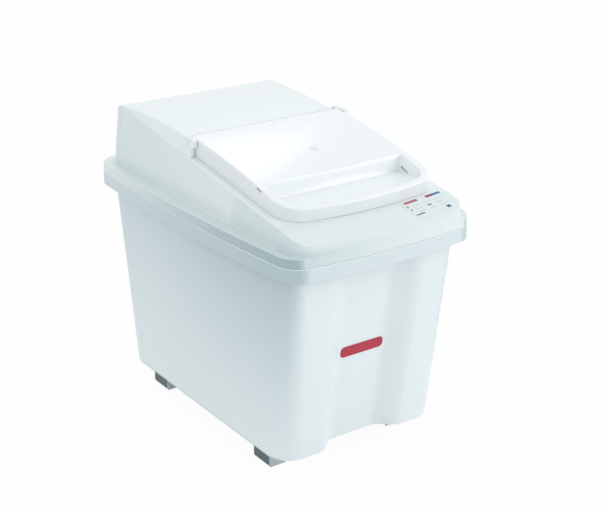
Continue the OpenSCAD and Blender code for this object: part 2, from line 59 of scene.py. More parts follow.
@dataclass(frozen=True)
class BinSizes:
    """Main sizes of the bin in millimetres and degrees: those of its solids, apart from a hundredth of the
    crown's rise and the flanks' fold and lean."""

    rim_length: float = 600.0
    rim_width: float = 351.0
    side_bow: float = 13.5
    end_bow: float = 14.0
    rim_corner: float = 30.0
    rim_overhang: float = 16.0
    rim_drop: float = 23.0
    neck_corner: float = 24.0
    neck_bow_share: float = 0.7
    tub_height: float = 351.0
    base_width: float = 314.0
    base_length: float = 494.0
    base_corner: float = 42.0
    tub_wall: float = 3.0
    skirt_z: float = 42.0
    floor_z: float = 68.5
    channel_mouth: float = 152.0
    channel_panel: float = 92.0
    channel_depth: float = 26.0
    hood_lip: float = 16.0
    lip_inset: float = 1.0
    hood_half: float = 159.5
    hood_front: float = -298.0
    hood_rear: float = 284.0
    hood_corner: float = 25.0
    side_lean: float = 4.5
    rear_lean: float = 16.0
    crown_rise: float = 109.49
    crown_y: float = 200.0
    crown_radius: float = 1380.0
    crown_edge: float = 36.0
    step_y: float = 36.0
    deck_rise: float = 78.0
    deck_front: float = 30.0
    apron_y: float = -254.0
    apron_length: float = 58.0
    apron_front: float = 13.0
    lean_y: float = 120.0
    flank_drop: float = 3.0
    flank_lean: float = 20.0
    flap_half: float = 146.0
    flap_corner: float = 34.0
    flap_bow: float = 14.0
    flap_front_rise: float = 50.0
    flap_crown: float = 7.0
    flap_rear: float = 24.0
    hinge_y: float = 22.0
    hinge_rise: float = 96.0
    hinge_cover: float = 9.0

    @property
    def rim_z(self) -> float:
        """Height of the rim's top."""
        return self.skirt_z + self.tub_height

    @property
    def ledge_z(self) -> float:
        """Height of the hood's ledge."""
        return self.rim_z + self.hood_lip

    @property
    def hinge_z(self) -> float:
        """Height of the hinge line."""
        return self.ledge_z + self.hinge_rise

    @property
    def deck_slope(self) -> float:
        """Rise of the deck for each unit of length towards the hinge."""
        return (self.deck_rise - self.deck_front) / (self.step_y - self.apron_y)

    @property
    def apron_slope(self) -> float:
        """Rise of the apron for each unit of length towards the flap."""
        return (self.deck_front - self.apron_front) / self.apron_length

    def crown_z(self, y: Array) -> Array:
        """Height of the crown: a shallow parabola along the bin."""
        return self.ledge_z + self.crown_rise - (y - self.crown_y) ** 2 / (2 * self.crown_radius)

    def deck_z(self, y: Array) -> Array:
        """Height of the deck: a plane that falls to the front."""
        return self.ledge_z + self.deck_rise - self.deck_slope * (self.step_y - y)

    def apron_z(self, y: Array) -> Array:
        """Height of the apron: a steeper plane in front of the flap."""
        return self.ledge_z + self.deck_front - self.apron_slope * (self.apron_y - y)

    def flap_z(self, y: Array) -> Array:
        """Height of the flap's top: a straight line from front to hinge with a parabola added on it.

        Args:
            y: Places along the bin.

        Returns:
            The heights.
        """
        t = (y - self.apron_y) / (self.flap_rear - self.apron_y)
        low = self.ledge_z + self.flap_front_rise
        high = self.hinge_z + self.hinge_cover
        return low + (high - low) * t + 4 * self.flap_crown * t * (1 - t)


SIZES = BinSizes()


def ease(t: Array) -> Array:
    """Smooth step from 0 to 1: the cubic 3tt - 2ttt of t held between 0 and 1."""
    t = np.clip(t, 0.0, 1.0)
    return t * t * (3.0 - 2.0 * t)


def fade(distance: Array, span: Pair) -> Array:
    """Smooth step over distance: it starts at minus the span's first value and takes its second to rise."""
    return ease((distance + span[0]) / span[1])


def runs(*stops: tuple[float, int]) -> Array:
    """Samples along a line, evenly spaced between stops.

    Args:
        stops: Pairs of a place and the number of steps that lead up to it from the stop before.

    Returns:
        The places as one array, the first stop included.
    """
    parts = [np.array([stops[0][0]])]
    for (start, _), (end, steps) in zip(stops, stops[1:]):
        parts.append(np.linspace(start, end, steps + 1)[1:])
    return np.concatenate(parts)


def even(steps: int) -> Array:
    """Even shares between -1 and 1, without the ends."""
    return np.linspace(-1.0, 1.0, steps + 1)[1:-1]


def linked(name: str, data: bpy.types.ID) -> Piece:
    """Make an object at the origin and link it to the scene.

    Args:
        name: Name of the object.
        data: Its mesh, camera or lamp.

    Returns:
        The object.
    """
    made = bpy.data.objects.new(name, data)
    bpy.context.scene.collection.objects.link(made)
    return made


@dataclass
class Surface:
    """Points and four-cornered faces of a shape, in millimetres."""

    points: Array
    faces: Array

    @staticmethod
    def grid(stack: Array, ring: bool = False, loop: bool = False) -> "Surface":
        """Surface over a grid of points, with a face between each four neighbours.

        Args:
            stack: Points as a K x N x 3 array, row by row.
            ring: Whether the last row joins the first.
            loop: Whether each row's last point joins its first.

        Returns:
            The surface.
        """
        k, n = stack.shape[:2]
        i, j = np.meshgrid(np.arange(k if ring else k - 1), np.arange(n if loop else n - 1), indexing="ij")
        down, right = (i + 1) % k, (j + 1) % n
        faces = np.stack([i * n + j, i * n + right, down * n + right, down * n + j], -1)
        return Surface(stack.reshape(-1, 3), faces.reshape(-1, 4))

    def joined(self, *others: "Surface") -> "Surface":
        """This surface and others as one.

        Args:
            others: Surfaces to add.

        Returns:
            One surface that holds the points and faces of all.
        """
        every = [self, *others]
        starts = np.cumsum([0] + [len(s.points) for s in every[:-1]])
        return Surface(
            np.concatenate([s.points for s in every]),
            np.concatenate([s.faces + start for s, start in zip(every, starts)]),
        )

    def welded(self, gap: float = 0.01, shift: float = 0.37) -> "Surface":
        """Merge points that share a cell of a fine lattice.

        Args:
            gap: Size of the lattice's cells.
            shift: Share of a cell by which the lattice is moved, so that round numbers lie inside cells.

        Returns:
            The welded surface, in which a face that keeps three corners names one of them twice.
        """
        keys = np.floor(self.points / gap + shift).astype(np.int64)
        _, first, index = np.unique(keys, axis=0, return_index=True, return_inverse=True)
        return Surface(self.points[first], index.reshape(-1)[self.faces])

    def facing(self, sign: float) -> "Surface":
        """The surface as it is for a positive sign, and with its faces turned over for a negative one."""
        return self if sign > 0 else Surface(self.points, self.faces[:, ::-1])

    def outward(self) -> "Surface":
        """The surface with its faces turned out, judged by the sign of the volume that they enclose."""
        a, b, c, d = (self.points[self.faces[:, k]] for k in range(4))
        return self.facing(np.sum(a * np.cross(b, c)) + np.sum(a * np.cross(c, d)))

    def away(self, centre: Triple) -> "Surface":
        """The surface with most of its area facing away from a point."""
        a, b, c, d = (self.points[self.faces[:, k]] for k in range(4))
        return self.facing(np.sum(np.cross(c - a, d - b) * ((a + b + c + d) / 4 - np.array(centre))))

    def moved(self, x: float = 0.0, y: float = 0.0, z: float = 0.0) -> "Surface":
        """The surface shifted along the axes."""
        return Surface(self.points + np.array([x, y, z]), self.faces)

    def turned(self, order: tuple[int, int, int] = ACROSS) -> "Surface":
        """The surface with its axes in another order, faces outward."""
        return Surface(self.points[:, order], self.faces).outward()

    def on_side(self, side: int) -> "Surface":
        """The surface as it is for side 1, and mirrored across the bin for side -1, faces outward."""
        return Surface(self.points * [side, 1, 1], self.faces).outward()

    def piece(self, name: str, **fields: Array) -> Piece:
        """Put the surface into a mesh object at the origin, in metres, shaded smooth.

        Args:
            name: Name of the piece.
            fields: Named values for each point, kept as attributes: one number or three for each.

        Returns:
            The new object, linked to the scene.
        """
        mesh = bpy.data.meshes.new(name)
        same = self.faces == np.roll(self.faces, -1, 1)
        three = same.sum(1) == 1
        corners = (same[three].argmax(1)[:, None] + np.arange(1, 4)) % 4
        triangles = np.take_along_axis(self.faces[three], corners, 1)
        faces = self.faces[~same.any(1)].tolist() + triangles.tolist()
        mesh.from_pydata((self.points * MM).tolist(), [], faces)
        for field_name, values in fields.items():
            flat = values.ndim == 1
            made = mesh.attributes.new(field_name, "FLOAT" if flat else "FLOAT_VECTOR", "POINT")
            made.data.foreach_set("value" if flat else "vector", values.ravel())
        mesh.shade_smooth()
        mesh.update()
        return linked(name, mesh)


def soften(
    stack: Array, radii: Sequence[float | Array], steps: int = 5, ring: bool = False,
    most: Pair = (0.44, 0.48), guard: float = 1.5,
) -> Array:
    """Round a profile's corners: each station P gives way to a parabola with P as its control point, which
    starts a radius before P and ends a radius after it, and a guard row on either side keeps the flats flat.

    Args:
        stack: Stations of the profile carried along a path, K x N x 3.
        radii: For each station the reach of its rounding, one number or one for each point; 0 keeps it.
        steps: Steps of each rounding.
        ring: Whether the last station is followed by the first.
        most: Largest shares of a flat that a rounding and its guard row take.
        guard: Distance of the guard row from the station, in radii.

    Returns:
        The finer stack.
    """
    count = len(stack)
    t = np.linspace(0.0, 1.0, steps + 1)[:, None, None]
    rows = []
    for i, radius in enumerate(radii):
        r = np.asarray(radius, float)[..., None]
        if (not ring and i in (0, count - 1)) or not np.any(r > 0):
            rows.append(stack[i][None])
            continue
        here = stack[i]
        ways = (stack[i - 1] - here, stack[(i + 1) % count] - here)
        share = [r / np.maximum(np.linalg.norm(w, axis=-1, keepdims=True), 1e-9) for w in ways]
        start, end = (here + w * np.minimum(most[0], s) for w, s in zip(ways, share))
        guards = [here + w * np.minimum(most[1], guard * s) for w, s in zip(ways, share)]
        arc = (1 - t) ** 2 * start + 2 * t * (1 - t) * here + t ** 2 * end
        rows.append(np.concatenate([guards[0][None], arc, guards[1][None]]))
    return np.concatenate(rows)


def tube(stations: Sequence[Array], edges: Sequence[float], steps: int = 5) -> Surface:
    """Closed surface of a profile whose corners, each an outline of N x 3 points, are rounded by edges."""
    return Surface.grid(soften(np.stack(stations), edges, steps, ring=True), ring=True, loop=True).outward()


def at_height(loop: Array, z: float | Array) -> Array:
    """A flat outline lifted to a height, or to a height for each point."""
    return np.column_stack([loop[:, :2], np.broadcast_to(z, len(loop))])


def slab(loop: Array, low: float, high: float, edge: float) -> Surface:
    """Flat plate: an outline carried from one height to another, with fans over its ends and rounded edges.

    Args:
        loop: Convex outline as an N x 2 array.
        low: Height of the lower face.
        high: Height of the upper face.
        edge: Reach of the edges' rounding.

    Returns:
        A closed surface with the outline in its first two axes and the height in the third.
    """
    middle = np.broadcast_to((loop.max(0) + loop.min(0)) / 2, loop.shape)
    level = [at_height(p, h) for p, h in ((middle, low), (loop, low), (loop, high), (middle, high))]
    return Surface.grid(soften(np.stack(level), [0, edge, edge, 0], steps=4), loop=True).welded().outward()


def lathe(profile: Array, steps: int = 56) -> Surface:
    """Surface of revolution about the third axis of a closed profile.

    Args:
        profile: Points [radius, height] as a K x 2 array; the last one is followed by the first.
        steps: Steps round the axis.

    Returns:
        A closed surface.
    """
    turn = np.linspace(0.0, 2 * np.pi, steps, endpoint=False)
    r, h = profile[:, :1], profile[:, 1:]
    stack = np.stack([r * np.cos(turn), r * np.sin(turn), h + 0 * turn], -1)
    return Surface.grid(stack, ring=True, loop=True).welded().outward()


def rounded(points: Sequence[Pair], radii: Sequence[float], steps: int = 5) -> Array:
    """Closed flat outline, N x 2, of corners that are rounded by radii, as soften does for one path."""
    flat = np.array([[x, y, 0.0] for x, y in points])[:, None, :]
    return soften(flat, radii, steps, ring=True)[:, 0, :2]


def oblong(low: Pair, high: Pair, radii: Sequence[float], steps: int = 3) -> Array:
    """Oblong outline between two corners, anticlockwise from the lower left one, with rounded corners."""
    return rounded([low, (high[0], low[1]), high, (low[0], high[1])], radii, steps)


def two_sided(side: Sequence[Pair]) -> list[Pair]:
    """Profile of a symmetrical turned part: its upper side, led up to by the same points mirrored."""
    return [(r, -h) for r, h in reversed(side)] + list(side)


@dataclass(frozen=True)
class LoopPlan:
    """Where the samples of a rounded outline lie: shares of its straight runs, and directions of its arcs."""

    run_x: Array
    run_y: Array
    arc_x: Array
    arc_y: Array

    @staticmethod
    def make(front: Array, sides: Array, rear: Array, corner_steps: int = 12) -> "LoopPlan":
        """Plan of an outline, anticlockwise from the front's right end.

        Args:
            front: Shares of the front's run, from -1 at its left end to 1, without the ends.
            sides: Shares of each side's run, from -1 at its front end to 1, without the ends.
            rear: Shares of the rear's run, from -1 at its left end to 1, without the ends.
            corner_steps: Steps of each corner's arc.

        Returns:
            The plan.
        """
        arc = np.linspace(0.0, np.pi / 2, corner_steps + 1)
        ones = np.ones(corner_steps + 1)
        parts = [
            (ones, -ones, np.sin(arc), -np.cos(arc)),
            (0 * sides + 1, sides, 0 * sides + 1, 0 * sides),
            (ones, ones, np.cos(arc), np.sin(arc)),
            (rear[::-1], 0 * rear + 1, 0 * rear, 0 * rear + 1),
            (-ones, ones, -np.sin(arc), np.cos(arc)),
            (0 * sides - 1, sides[::-1], 0 * sides - 1, 0 * sides),
            (-ones, -ones, -np.cos(arc), -np.sin(arc)),
            (front, 0 * front - 1, 0 * front, 0 * front - 1),
        ]
        return LoopPlan(*(np.concatenate(c) for c in zip(*parts)))

    def loop(self, half: float, front: float, rear: float, corner: float, bows: Triple = (0, 0, 0)) -> Array:
        """Outline in plan: straight runs joined by quarter circles, then bowed out by parabolas.

        Args:
            half: Half the width before the bows.
            front: Place of the front end.
            rear: Place of the rear end.
            corner: Radius of the corners.
            bows: Outward bow of the sides, of the front and of the rear.

        Returns:
            The outline as an N x 2 array.
        """
        x = self.run_x * (half - corner) + corner * self.arc_x
        y = (front + rear) / 2 + self.run_y * ((rear - front) / 2 - corner) + corner * self.arc_y
        u = x / half
        v = (2 * y - front - rear) / (rear - front)
        end = np.where(v < 0, -bows[1], bows[2])
        return np.column_stack([x + np.sign(u) * bows[0] * (1 - v * v), y + end * (1 - u * u)])


class Grain(Enum):
    """Surface grain of a moulding or a print: scale of its noise and strength of its bump."""

    POLISHED = (60.0, 0.006)
    SATIN = (420.0, 0.05)
    COARSE = (900.0, 0.16)
    BRUSHED = (700.0, 0.08)
    PAPER = (520.0, 0.03)


class Group(Enum):
    """Shader node groups that several finishes share."""

    GRAIN = "moulding_grain"
    SCUFF = "handling_scuffs"


def fresh_group(kind: Group, inputs: dict[str, float], outputs: Sequence[str]) -> tuple:
    """Start a shader node group with named float sockets.

    Args:
        kind: Which group.
        inputs: Names and default values of the inputs.
        outputs: Names of the outputs.

    Returns:
        The group's tree, its input node and its output node.
    """
    tree = bpy.data.node_groups.new(kind.value, "ShaderNodeTree")
    for name, value in inputs.items():
        tree.interface.new_socket(name, in_out="INPUT", socket_type="NodeSocketFloat").default_value = value
    for name in outputs:
        tree.interface.new_socket(name, in_out="OUTPUT", socket_type="NodeSocketFloat")
    return tree, tree.nodes.new("NodeGroupInput"), tree.nodes.new("NodeGroupOutput")


def node(tree: Tree, kind: str, links: dict | None = None, **values: object) -> Node:
    """Add a node, set its properties or sockets, and link its inputs.

    Args:
        tree: Node tree that takes it.
        kind: Type of the node, without its ShaderNode prefix.
        links: Input names or numbers, each with the output socket that feeds it.
        values: Properties of the node, or values of its inputs with spaces written as underscores.

    Returns:
        The node.
    """
    made = tree.nodes.new("ShaderNode" + kind)
    for name, value in values.items():
        if hasattr(made, name):
            setattr(made, name, value)
        else:
            made.inputs[name.replace("_", " ")].default_value = value
    for name, source in (links or {}).items():
        tree.links.new(source, made.inputs[name])
    return made


def maths(tree: Tree, operation: str, *terms: Socket | float) -> Socket:
    """Add a sum, product or test of numbers.

    Args:
        tree: Node tree that takes it.
        operation: Name of the operation.
        terms: Sockets or fixed numbers.

    Returns:
        The result's socket.
    """
    made = node(tree, "Math", operation=operation)
    for socket, term in zip(made.inputs, terms):
        if isinstance(term, Socket):
            tree.links.new(term, socket)
        else:
            socket.default_value = term
    return made.outputs[0]


def build_groups() -> None:
    """Make the shared groups: fine grain with a broad mottle, and scuffs in patches."""
    tree, into, out = fresh_group(Group.GRAIN, {"Scale": 400.0}, ["Height", "Mottle"])
    place = node(tree, "TexCoord").outputs["Object"]
    fine = node(tree, "TexNoise", {"Vector": place, "Scale": into.outputs["Scale"]}, Detail=4.0)
    broad = node(tree, "TexNoise", {"Vector": place}, Scale=9.0, Detail=3.0, Roughness=0.6)
    tree.links.new(fine.outputs["Fac"], out.inputs["Height"])
    tree.links.new(broad.outputs["Fac"], out.inputs["Mottle"])

    tree, into, out = fresh_group(Group.SCUFF, {"Amount": 0.5}, ["Mask"])
    place = node(tree, "TexCoord").outputs["Object"]
    scale = node(tree, "CombineXYZ", X=12.0, Y=70.0, Z=55.0)
    slant = node(tree, "VectorMath", {0: place, 1: scale.outputs[0]}, operation="MULTIPLY")
    lines = node(tree, "TexNoise", {"Vector": slant.outputs[0]}, Scale=2.2, Detail=5.0, Roughness=0.7)
    patch = node(tree, "TexNoise", {"Vector": place}, Scale=14.0, Detail=2.0)
    thin = node(tree, "MapRange", {"Value": lines.outputs["Fac"]}, From_Min=0.63, From_Max=0.74)
    where = node(tree, "MapRange", {"Value": patch.outputs["Fac"]}, From_Min=0.48, From_Max=0.68)
    both = maths(tree, "MULTIPLY", thin.outputs["Result"], where.outputs["Result"])
    tree.links.new(maths(tree, "MULTIPLY", both, into.outputs["Amount"]), out.inputs["Mask"])


def place_group(tree: Tree, kind: Group, **values: float) -> Node:
    """Put a shared group into a material.

    Args:
        tree: The material's node tree.
        kind: Which group.
        values: Values of the group's inputs.

    Returns:
        The group node.
    """
    made = tree.nodes.new("ShaderNodeGroup")
    made.node_tree = bpy.data.node_groups[kind.value]
    for name, value in values.items():
        made.inputs[name].default_value = value
    return made


def mix(tree: Tree, share: Socket, first: Socket | Triple, second: Triple) -> Socket:
    """Blend two colours.

    Args:
        tree: Node tree that takes the blend.
        share: Socket of the second colour's share.
        first: First colour, a socket or red, green and blue.
        second: Second colour as red, green and blue.

    Returns:
        The blend's colour socket.
    """
    made = node(tree, "Mix", {0: share}, data_type="RGBA")
    if isinstance(first, Socket):
        tree.links.new(first, made.inputs[6])
    else:
        made.inputs[6].default_value = (*first, 1.0)
    made.inputs[7].default_value = (*second, 1.0)
    return made.outputs[2]


def spread(tree: Tree, value: Socket, low: float, high: float) -> Socket:
    """A socket's value from 0 to 1 mapped to the range from low to high."""
    return node(tree, "MapRange", {"Value": value}, To_Min=low, To_Max=high).outputs["Result"]


def fresh_paint(name: str) -> tuple[Paint, Tree, Node]:
    """Start a material.

    Args:
        name: Name of the material.

    Returns:
        The material, its node tree and its shader node.
    """
    made = bpy.data.materials.new(name)
    made.use_nodes = True
    return made, made.node_tree, made.node_tree.nodes["Principled BSDF"]


def roughen(tree: Tree, height: Socket, strength: float, depth: float) -> None:
    """Give a material's shader a bump of a height, with a strength and a depth in metres."""
    bump = node(tree, "Bump", {"Height": height}, Strength=strength, Distance=depth)
    tree.links.new(bump.outputs["Normal"], tree.nodes["Principled BSDF"].inputs["Normal"])


def cover(piece: Piece, paint: Paint) -> None:
    """Give a piece one material.

    Args:
        piece: The piece.
        paint: The material.
    """
    piece.data.materials.clear()
    piece.data.materials.append(paint)


@dataclass(frozen=True)
class Finish:
    """A moulded or metal finish: two tones mottled together, with painted shade where the piece's shade
    attribute asks for it and near the floor, and with grain and scuffs."""

    name: str
    slot: str
    tone: Triple
    tint: Triple
    gloss: Pair
    grain: Grain = Grain.SATIN
    metallic: float = 0.0
    coat: float = 0.0
    coat_gloss: float = 0.08
    scuff: float = 0.3
    shade: Triple = (0.0, 0.0, 0.0)
    shaded: bool = False
    floor_share: float = 0.0
    floor_reach: float = 0.05
    mottle: float = 0.6
    scuff_light: float = 0.9
    scuff_rough: float = 0.25
    bump_depth: float = 0.0006

    def material(self) -> Paint:
        """Build the procedural material, or take the one that was built before.

        Returns:
            A material with base colour, roughness and bump that change over the surface.
        """
        if self.name in bpy.data.materials:
            return bpy.data.materials[self.name]
        made, tree, shader = fresh_paint(self.name)
        grain = place_group(tree, Group.GRAIN, Scale=self.grain.value[0])
        scuff = place_group(tree, Group.SCUFF, Amount=self.scuff).outputs["Mask"]
        colour = mix(tree, spread(tree, grain.outputs["Mottle"], 0.0, self.mottle), self.tone, self.tint)
        # Painted shade: darker towards the floor, by up to the floor share.
        if self.floor_share:
            place = node(tree, "SeparateXYZ", {0: node(tree, "TexCoord").outputs["Object"]})
            rise = node(tree, "MapRange", {"Value": place.outputs["Z"]}, From_Max=self.floor_reach)
            near = spread(tree, rise.outputs["Result"], self.floor_share, 0.0)
            colour = mix(tree, near, colour, self.shade)
        # Painted shade: the piece's shade attribute mixes in the finish's shade colour.
        if self.shaded:
            share = node(tree, "Attribute", attribute_name=SHADE).outputs["Fac"]
            colour = mix(tree, share, colour, self.shade)
        worn = tuple(0.5 * (c + 1.0) * self.scuff_light for c in self.tone)
        tree.links.new(mix(tree, scuff, colour, worn), shader.inputs["Base Color"])
        rough = spread(tree, grain.outputs["Mottle"], *self.gloss)
        rough = maths(tree, "ADD", rough, spread(tree, scuff, 0.0, self.scuff_rough))
        tree.links.new(rough, shader.inputs["Roughness"])
        roughen(tree, grain.outputs["Height"], self.grain.value[1], self.bump_depth)
        shader.inputs["Metallic"].default_value = self.metallic
        shader.inputs["Coat Weight"].default_value = self.coat
        shader.inputs["Coat Roughness"].default_value = self.coat_gloss
        return made

    def dress(self, *pieces: Piece) -> None:
        """Give pieces this finish."""
        for piece in pieces:
            cover(piece, self.material())


# The shade colours of the plastics are painted shade, mixed in where each piece's shade attribute asks.
TUB_PLASTIC = Finish(
    "satin_tub", "tub_plastic", (0.88, 0.925, 0.94), (0.86, 0.91, 0.93), (0.34, 0.44),
    scuff=0.25, shade=(0.50, 0.60, 0.63), shaded=True)
HOOD_PLASTIC = Finish(
    "milky_hood", "hood_plastic", (0.91, 0.94, 0.945), (0.89, 0.93, 0.935), (0.20, 0.28), Grain.POLISHED,
    coat=0.15, shade=(0.68, 0.77, 0.78), shaded=True)
FLAP_PLASTIC = Finish(
    "glossy_flap", "flap_plastic", (0.95, 0.965, 0.985), (0.93, 0.955, 0.97), (0.17, 0.23), Grain.POLISHED,
    coat=0.3, coat_gloss=0.2, shade=(0.84, 0.855, 0.862), shaded=True)
# The lip's plastic: the hood's, with a darker painted shade colour.
LIP_PLASTIC = Finish(
    "milky_lip", "hood_plastic", (0.89, 0.93, 0.935), (0.87, 0.92, 0.925), (0.22, 0.30), Grain.POLISHED,
    coat=0.15, shade=(0.40, 0.51, 0.54), shaded=True)
STEEL = Finish(
    "brushed_steel", "steel", (0.60, 0.62, 0.64), (0.50, 0.52, 0.54), (0.28, 0.42), Grain.BRUSHED,
    metallic=1.0, scuff=0.4)
# Painted shade: this nylon darkens near the floor.
CASTOR_NYLON = Finish(
    "dark_nylon", "castor_nylon", (0.11, 0.155, 0.168), (0.09, 0.135, 0.147), (0.42, 0.55), Grain.COARSE,
    scuff=0.35, shade=(0.07, 0.11, 0.12), floor_share=0.3)
DARK_STEEL = Finish(
    "dark_steel", "steel", (0.16, 0.17, 0.18), (0.13, 0.14, 0.15), (0.45, 0.58), Grain.BRUSHED, metallic=1.0)
WHEEL_CORE = Finish("grey_centre", "wheel_core", (0.66, 0.73, 0.75), (0.62, 0.70, 0.72), (0.40, 0.5))
GATE_MARK = Finish("gate_mark", "flap_plastic", (0.84, 0.86, 0.90), (0.82, 0.84, 0.88), (0.2, 0.3), scuff=0.2)
# Painted shadow: dark grey for the slabs that stand for the shadows in the slits beside the grip.
SLIT_SHADOW = Finish(
    "painted_slit_shadow", "flap_plastic", (0.18, 0.19, 0.22), (0.15, 0.16, 0.19), (0.6, 0.75), Grain.COARSE,
    scuff=0.2)
TREAD = Finish(
    "grey_rubber", "tread", (0.40, 0.46, 0.48), (0.36, 0.42, 0.44), (0.55, 0.7), Grain.COARSE, scuff=0.5)


def ride(body: str, *pieces: Piece) -> None:
    """Let pieces move with a body, and report each of them.

    Args:
        body: Name of the body.
        pieces: The pieces.
    """
    for piece in pieces:
        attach(piece, body)
        LOG.info("%s rides on %s with %d faces", piece.name, body, len(piece.data.polygons))


def thicken(piece: Piece, wall: float) -> None:
    """Give an open skin a wall on its inner side.

    Args:
        piece: The skin's piece.
        wall: Thickness of the wall.
    """
    made = piece.modifiers.new("wall", "SOLIDIFY")
    made.thickness = wall * MM
    made.offset = -1.0


@dataclass
class Tub:
    """The tapered tub: a wall turned over into a rim, a floor, and ribs and bosses under the floor."""

    sizes: BinSizes = SIZES
    plan: LoopPlan = field(default_factory=lambda: LoopPlan.make(even(96), even(40), even(40)))
    channel_soft: float = 0.16
    shell_edges: tuple[float, ...] = (1.0, 1.0, 0, 5.0, 2.0, 1.1, 1.1, 2.2, 2.5)
    rib_depth: float = 8.0
    rib_wall: float = 3.0
    rib_corner: float = 1.0
    rib_edge: float = 0.8
    boss_radius: float = 12.0
    boss_z: float = 52.5
    boss_edges: tuple[float, ...] = (0.6, 1.0, 0.3, 0.3)
    bore_radius: float = 6.55
    castor_x: float = 120.0
    castor_y: float = 166.0
    # Reaches and shares of the shell's painted shade on the rim band and of its painted shadow line at the
    # foot.
    side_fade: Pair = (44.0, 30.0)
    side_shares: Pair = (0.55, 0.4)
    end_fade: Pair = (24.0, 10.0)
    end_share: float = 0.3
    band_low: Pair = (2.0, 3.0)
    band_high: Pair = (-0.4, 1.4)
    foot_band: float = 4.5
    foot_fade: Pair = (16.0, 12.0)
    foot_share: float = 0.85

    def wall(self, z: float, inset: float) -> Array:
        """Wall outline at a height: a rounded rectangle that widens evenly upwards, whose front falls
        back into the channel by a clamp with soft ends of the distance from the middle.

        Args:
            z: Height.
            inset: Distance in from the outer face.

        Returns:
            The outline as an N x 3 array.
        """
        s = self.sizes
        t = (z - s.skirt_z) / s.tub_height
        half = (s.base_width + (s.rim_width - 2 * s.rim_overhang - s.base_width) * t) / 2 - inset
        end = (s.base_length + (s.rim_length - 2 * s.rim_overhang - s.base_length) * t) / 2 - inset
        corner = s.base_corner + (s.neck_corner - s.base_corner) * t - inset
        bow = s.neck_bow_share * t
        loop = self.plan.loop(half, -end, end, corner, (bow * s.side_bow, bow * s.end_bow, bow * s.end_bow))
        slant = math.atan(2 * s.channel_depth / (s.channel_mouth - s.channel_panel))
        shift = inset * math.tan(slant / 2)
        share = (s.channel_mouth / 2 + shift - np.abs(loop[:, 0])) / ((s.channel_mouth - s.channel_panel) / 2)
        soft = self.channel_soft
        dip = (np.sqrt(share ** 2 + soft ** 2) - np.sqrt((1 - share) ** 2 + soft ** 2) + 1) / 2
        dip = np.where(share > -3 * soft, dip, 0.0) * fade(share, (3 * soft, 2 * soft))
        loop[:, 1] += s.channel_depth * dip * (self.plan.arc_y == -1)
        return at_height(loop, z)

    def rim(self, z: float, inset: float) -> Array:
        """Rim outline at a height: the rounded rectangle with bowed sides and ends.

        Args:
            z: Height.
            inset: Distance in from the rim's edge.

        Returns:
            The outline as an N x 3 array.
        """
        s = self.sizes
        half, end = s.rim_width / 2 - inset, s.rim_length / 2 - inset
        loop = self.plan.loop(half, -end, end, s.rim_corner - inset, (s.side_bow, s.end_bow, s.end_bow))
        return at_height(loop, z)

    def shell(self) -> Surface:
        """Wall and rim: a profile of nine corners, rounded, carried round the outline and closed on itself.

        Returns:
            A closed surface.
        """
        s = self.sizes
        under, lip = s.rim_z - s.tub_wall, s.rim_z - s.rim_drop
        return tube([
            self.wall(s.skirt_z, s.tub_wall), self.wall(s.skirt_z, 0.0),
            self.wall(s.skirt_z + self.foot_band, 0.0), self.wall(under, 0.0),
            self.rim(under, s.tub_wall), self.rim(lip, s.tub_wall),
            self.rim(lip, 0.0), self.rim(s.rim_z, 0.0), self.wall(s.rim_z, s.tub_wall),
        ], self.shell_edges)

    def depth(self, shell: Surface) -> Array:
        """Painted shade on the shell: on the rim band most along the sides, growing towards the front there,
        and less along the ends, and a thin painted shadow line at the foot of the sides.

        Args:
            shell: The shell's surface.

        Returns:
            A share from 0 to 1 for each point.
        """
        s = self.sizes
        x, y, z = shell.points.T
        band = fade(z - s.rim_z + s.rim_drop, self.band_low) * fade(s.rim_z - z, self.band_high)
        ahead = ease((s.rim_length / 2 - y) / s.rim_length)
        base, gain = self.side_shares
        side = fade(np.abs(x) - s.rim_width / 2, self.side_fade) * (base + gain * ahead)
        end = self.end_share * fade(np.abs(y) - s.rim_length / 2 - s.end_bow, self.end_fade)
        foot = 1 - ease((z - s.skirt_z) / self.foot_band)
        foot = foot * fade(np.abs(x) - s.base_width / 2, self.foot_fade)
        return np.maximum(band * np.maximum(side, end), self.foot_share * foot)

    def floor(self) -> Surface:
        """Floor: the wall's outline as a slab, let into the wall by half its thickness.

        Returns:
            A closed surface.
        """
        s = self.sizes
        levels = s.floor_z, s.floor_z + s.tub_wall
        low, high = (self.wall(z, s.tub_wall / 2) for z in levels)
        middle = np.zeros_like(low)
        stack = np.stack([at_height(middle, levels[0]), low, high, at_height(middle, levels[1])])
        return Surface.grid(stack, loop=True).welded().outward()

    def rib(self, low: Pair, high: Pair) -> Surface:
        """Rib under the floor: a rounded oblong between two corners in plan, let into the floor.

        Args:
            low: Corner with the lower coordinates.
            high: Corner with the higher coordinates.

        Returns:
            A closed surface.
        """
        s = self.sizes
        loop = oblong(low, high, [self.rib_corner] * 4)
        return slab(loop, s.floor_z - self.rib_depth, s.floor_z + s.tub_wall / 2, self.rib_edge)

    def boss(self, x: float, y: float) -> Surface:
        """Boss round a castor socket: a turned sleeve.

        Args:
            x: Place across the bin.
            y: Place along the bin.

        Returns:
            A closed surface.
        """
        top = self.sizes.floor_z + self.sizes.tub_wall / 2
        profile = oblong((self.bore_radius, self.boss_z), (self.boss_radius, top), self.boss_edges)
        return lathe(profile, steps=40).moved(x, y)

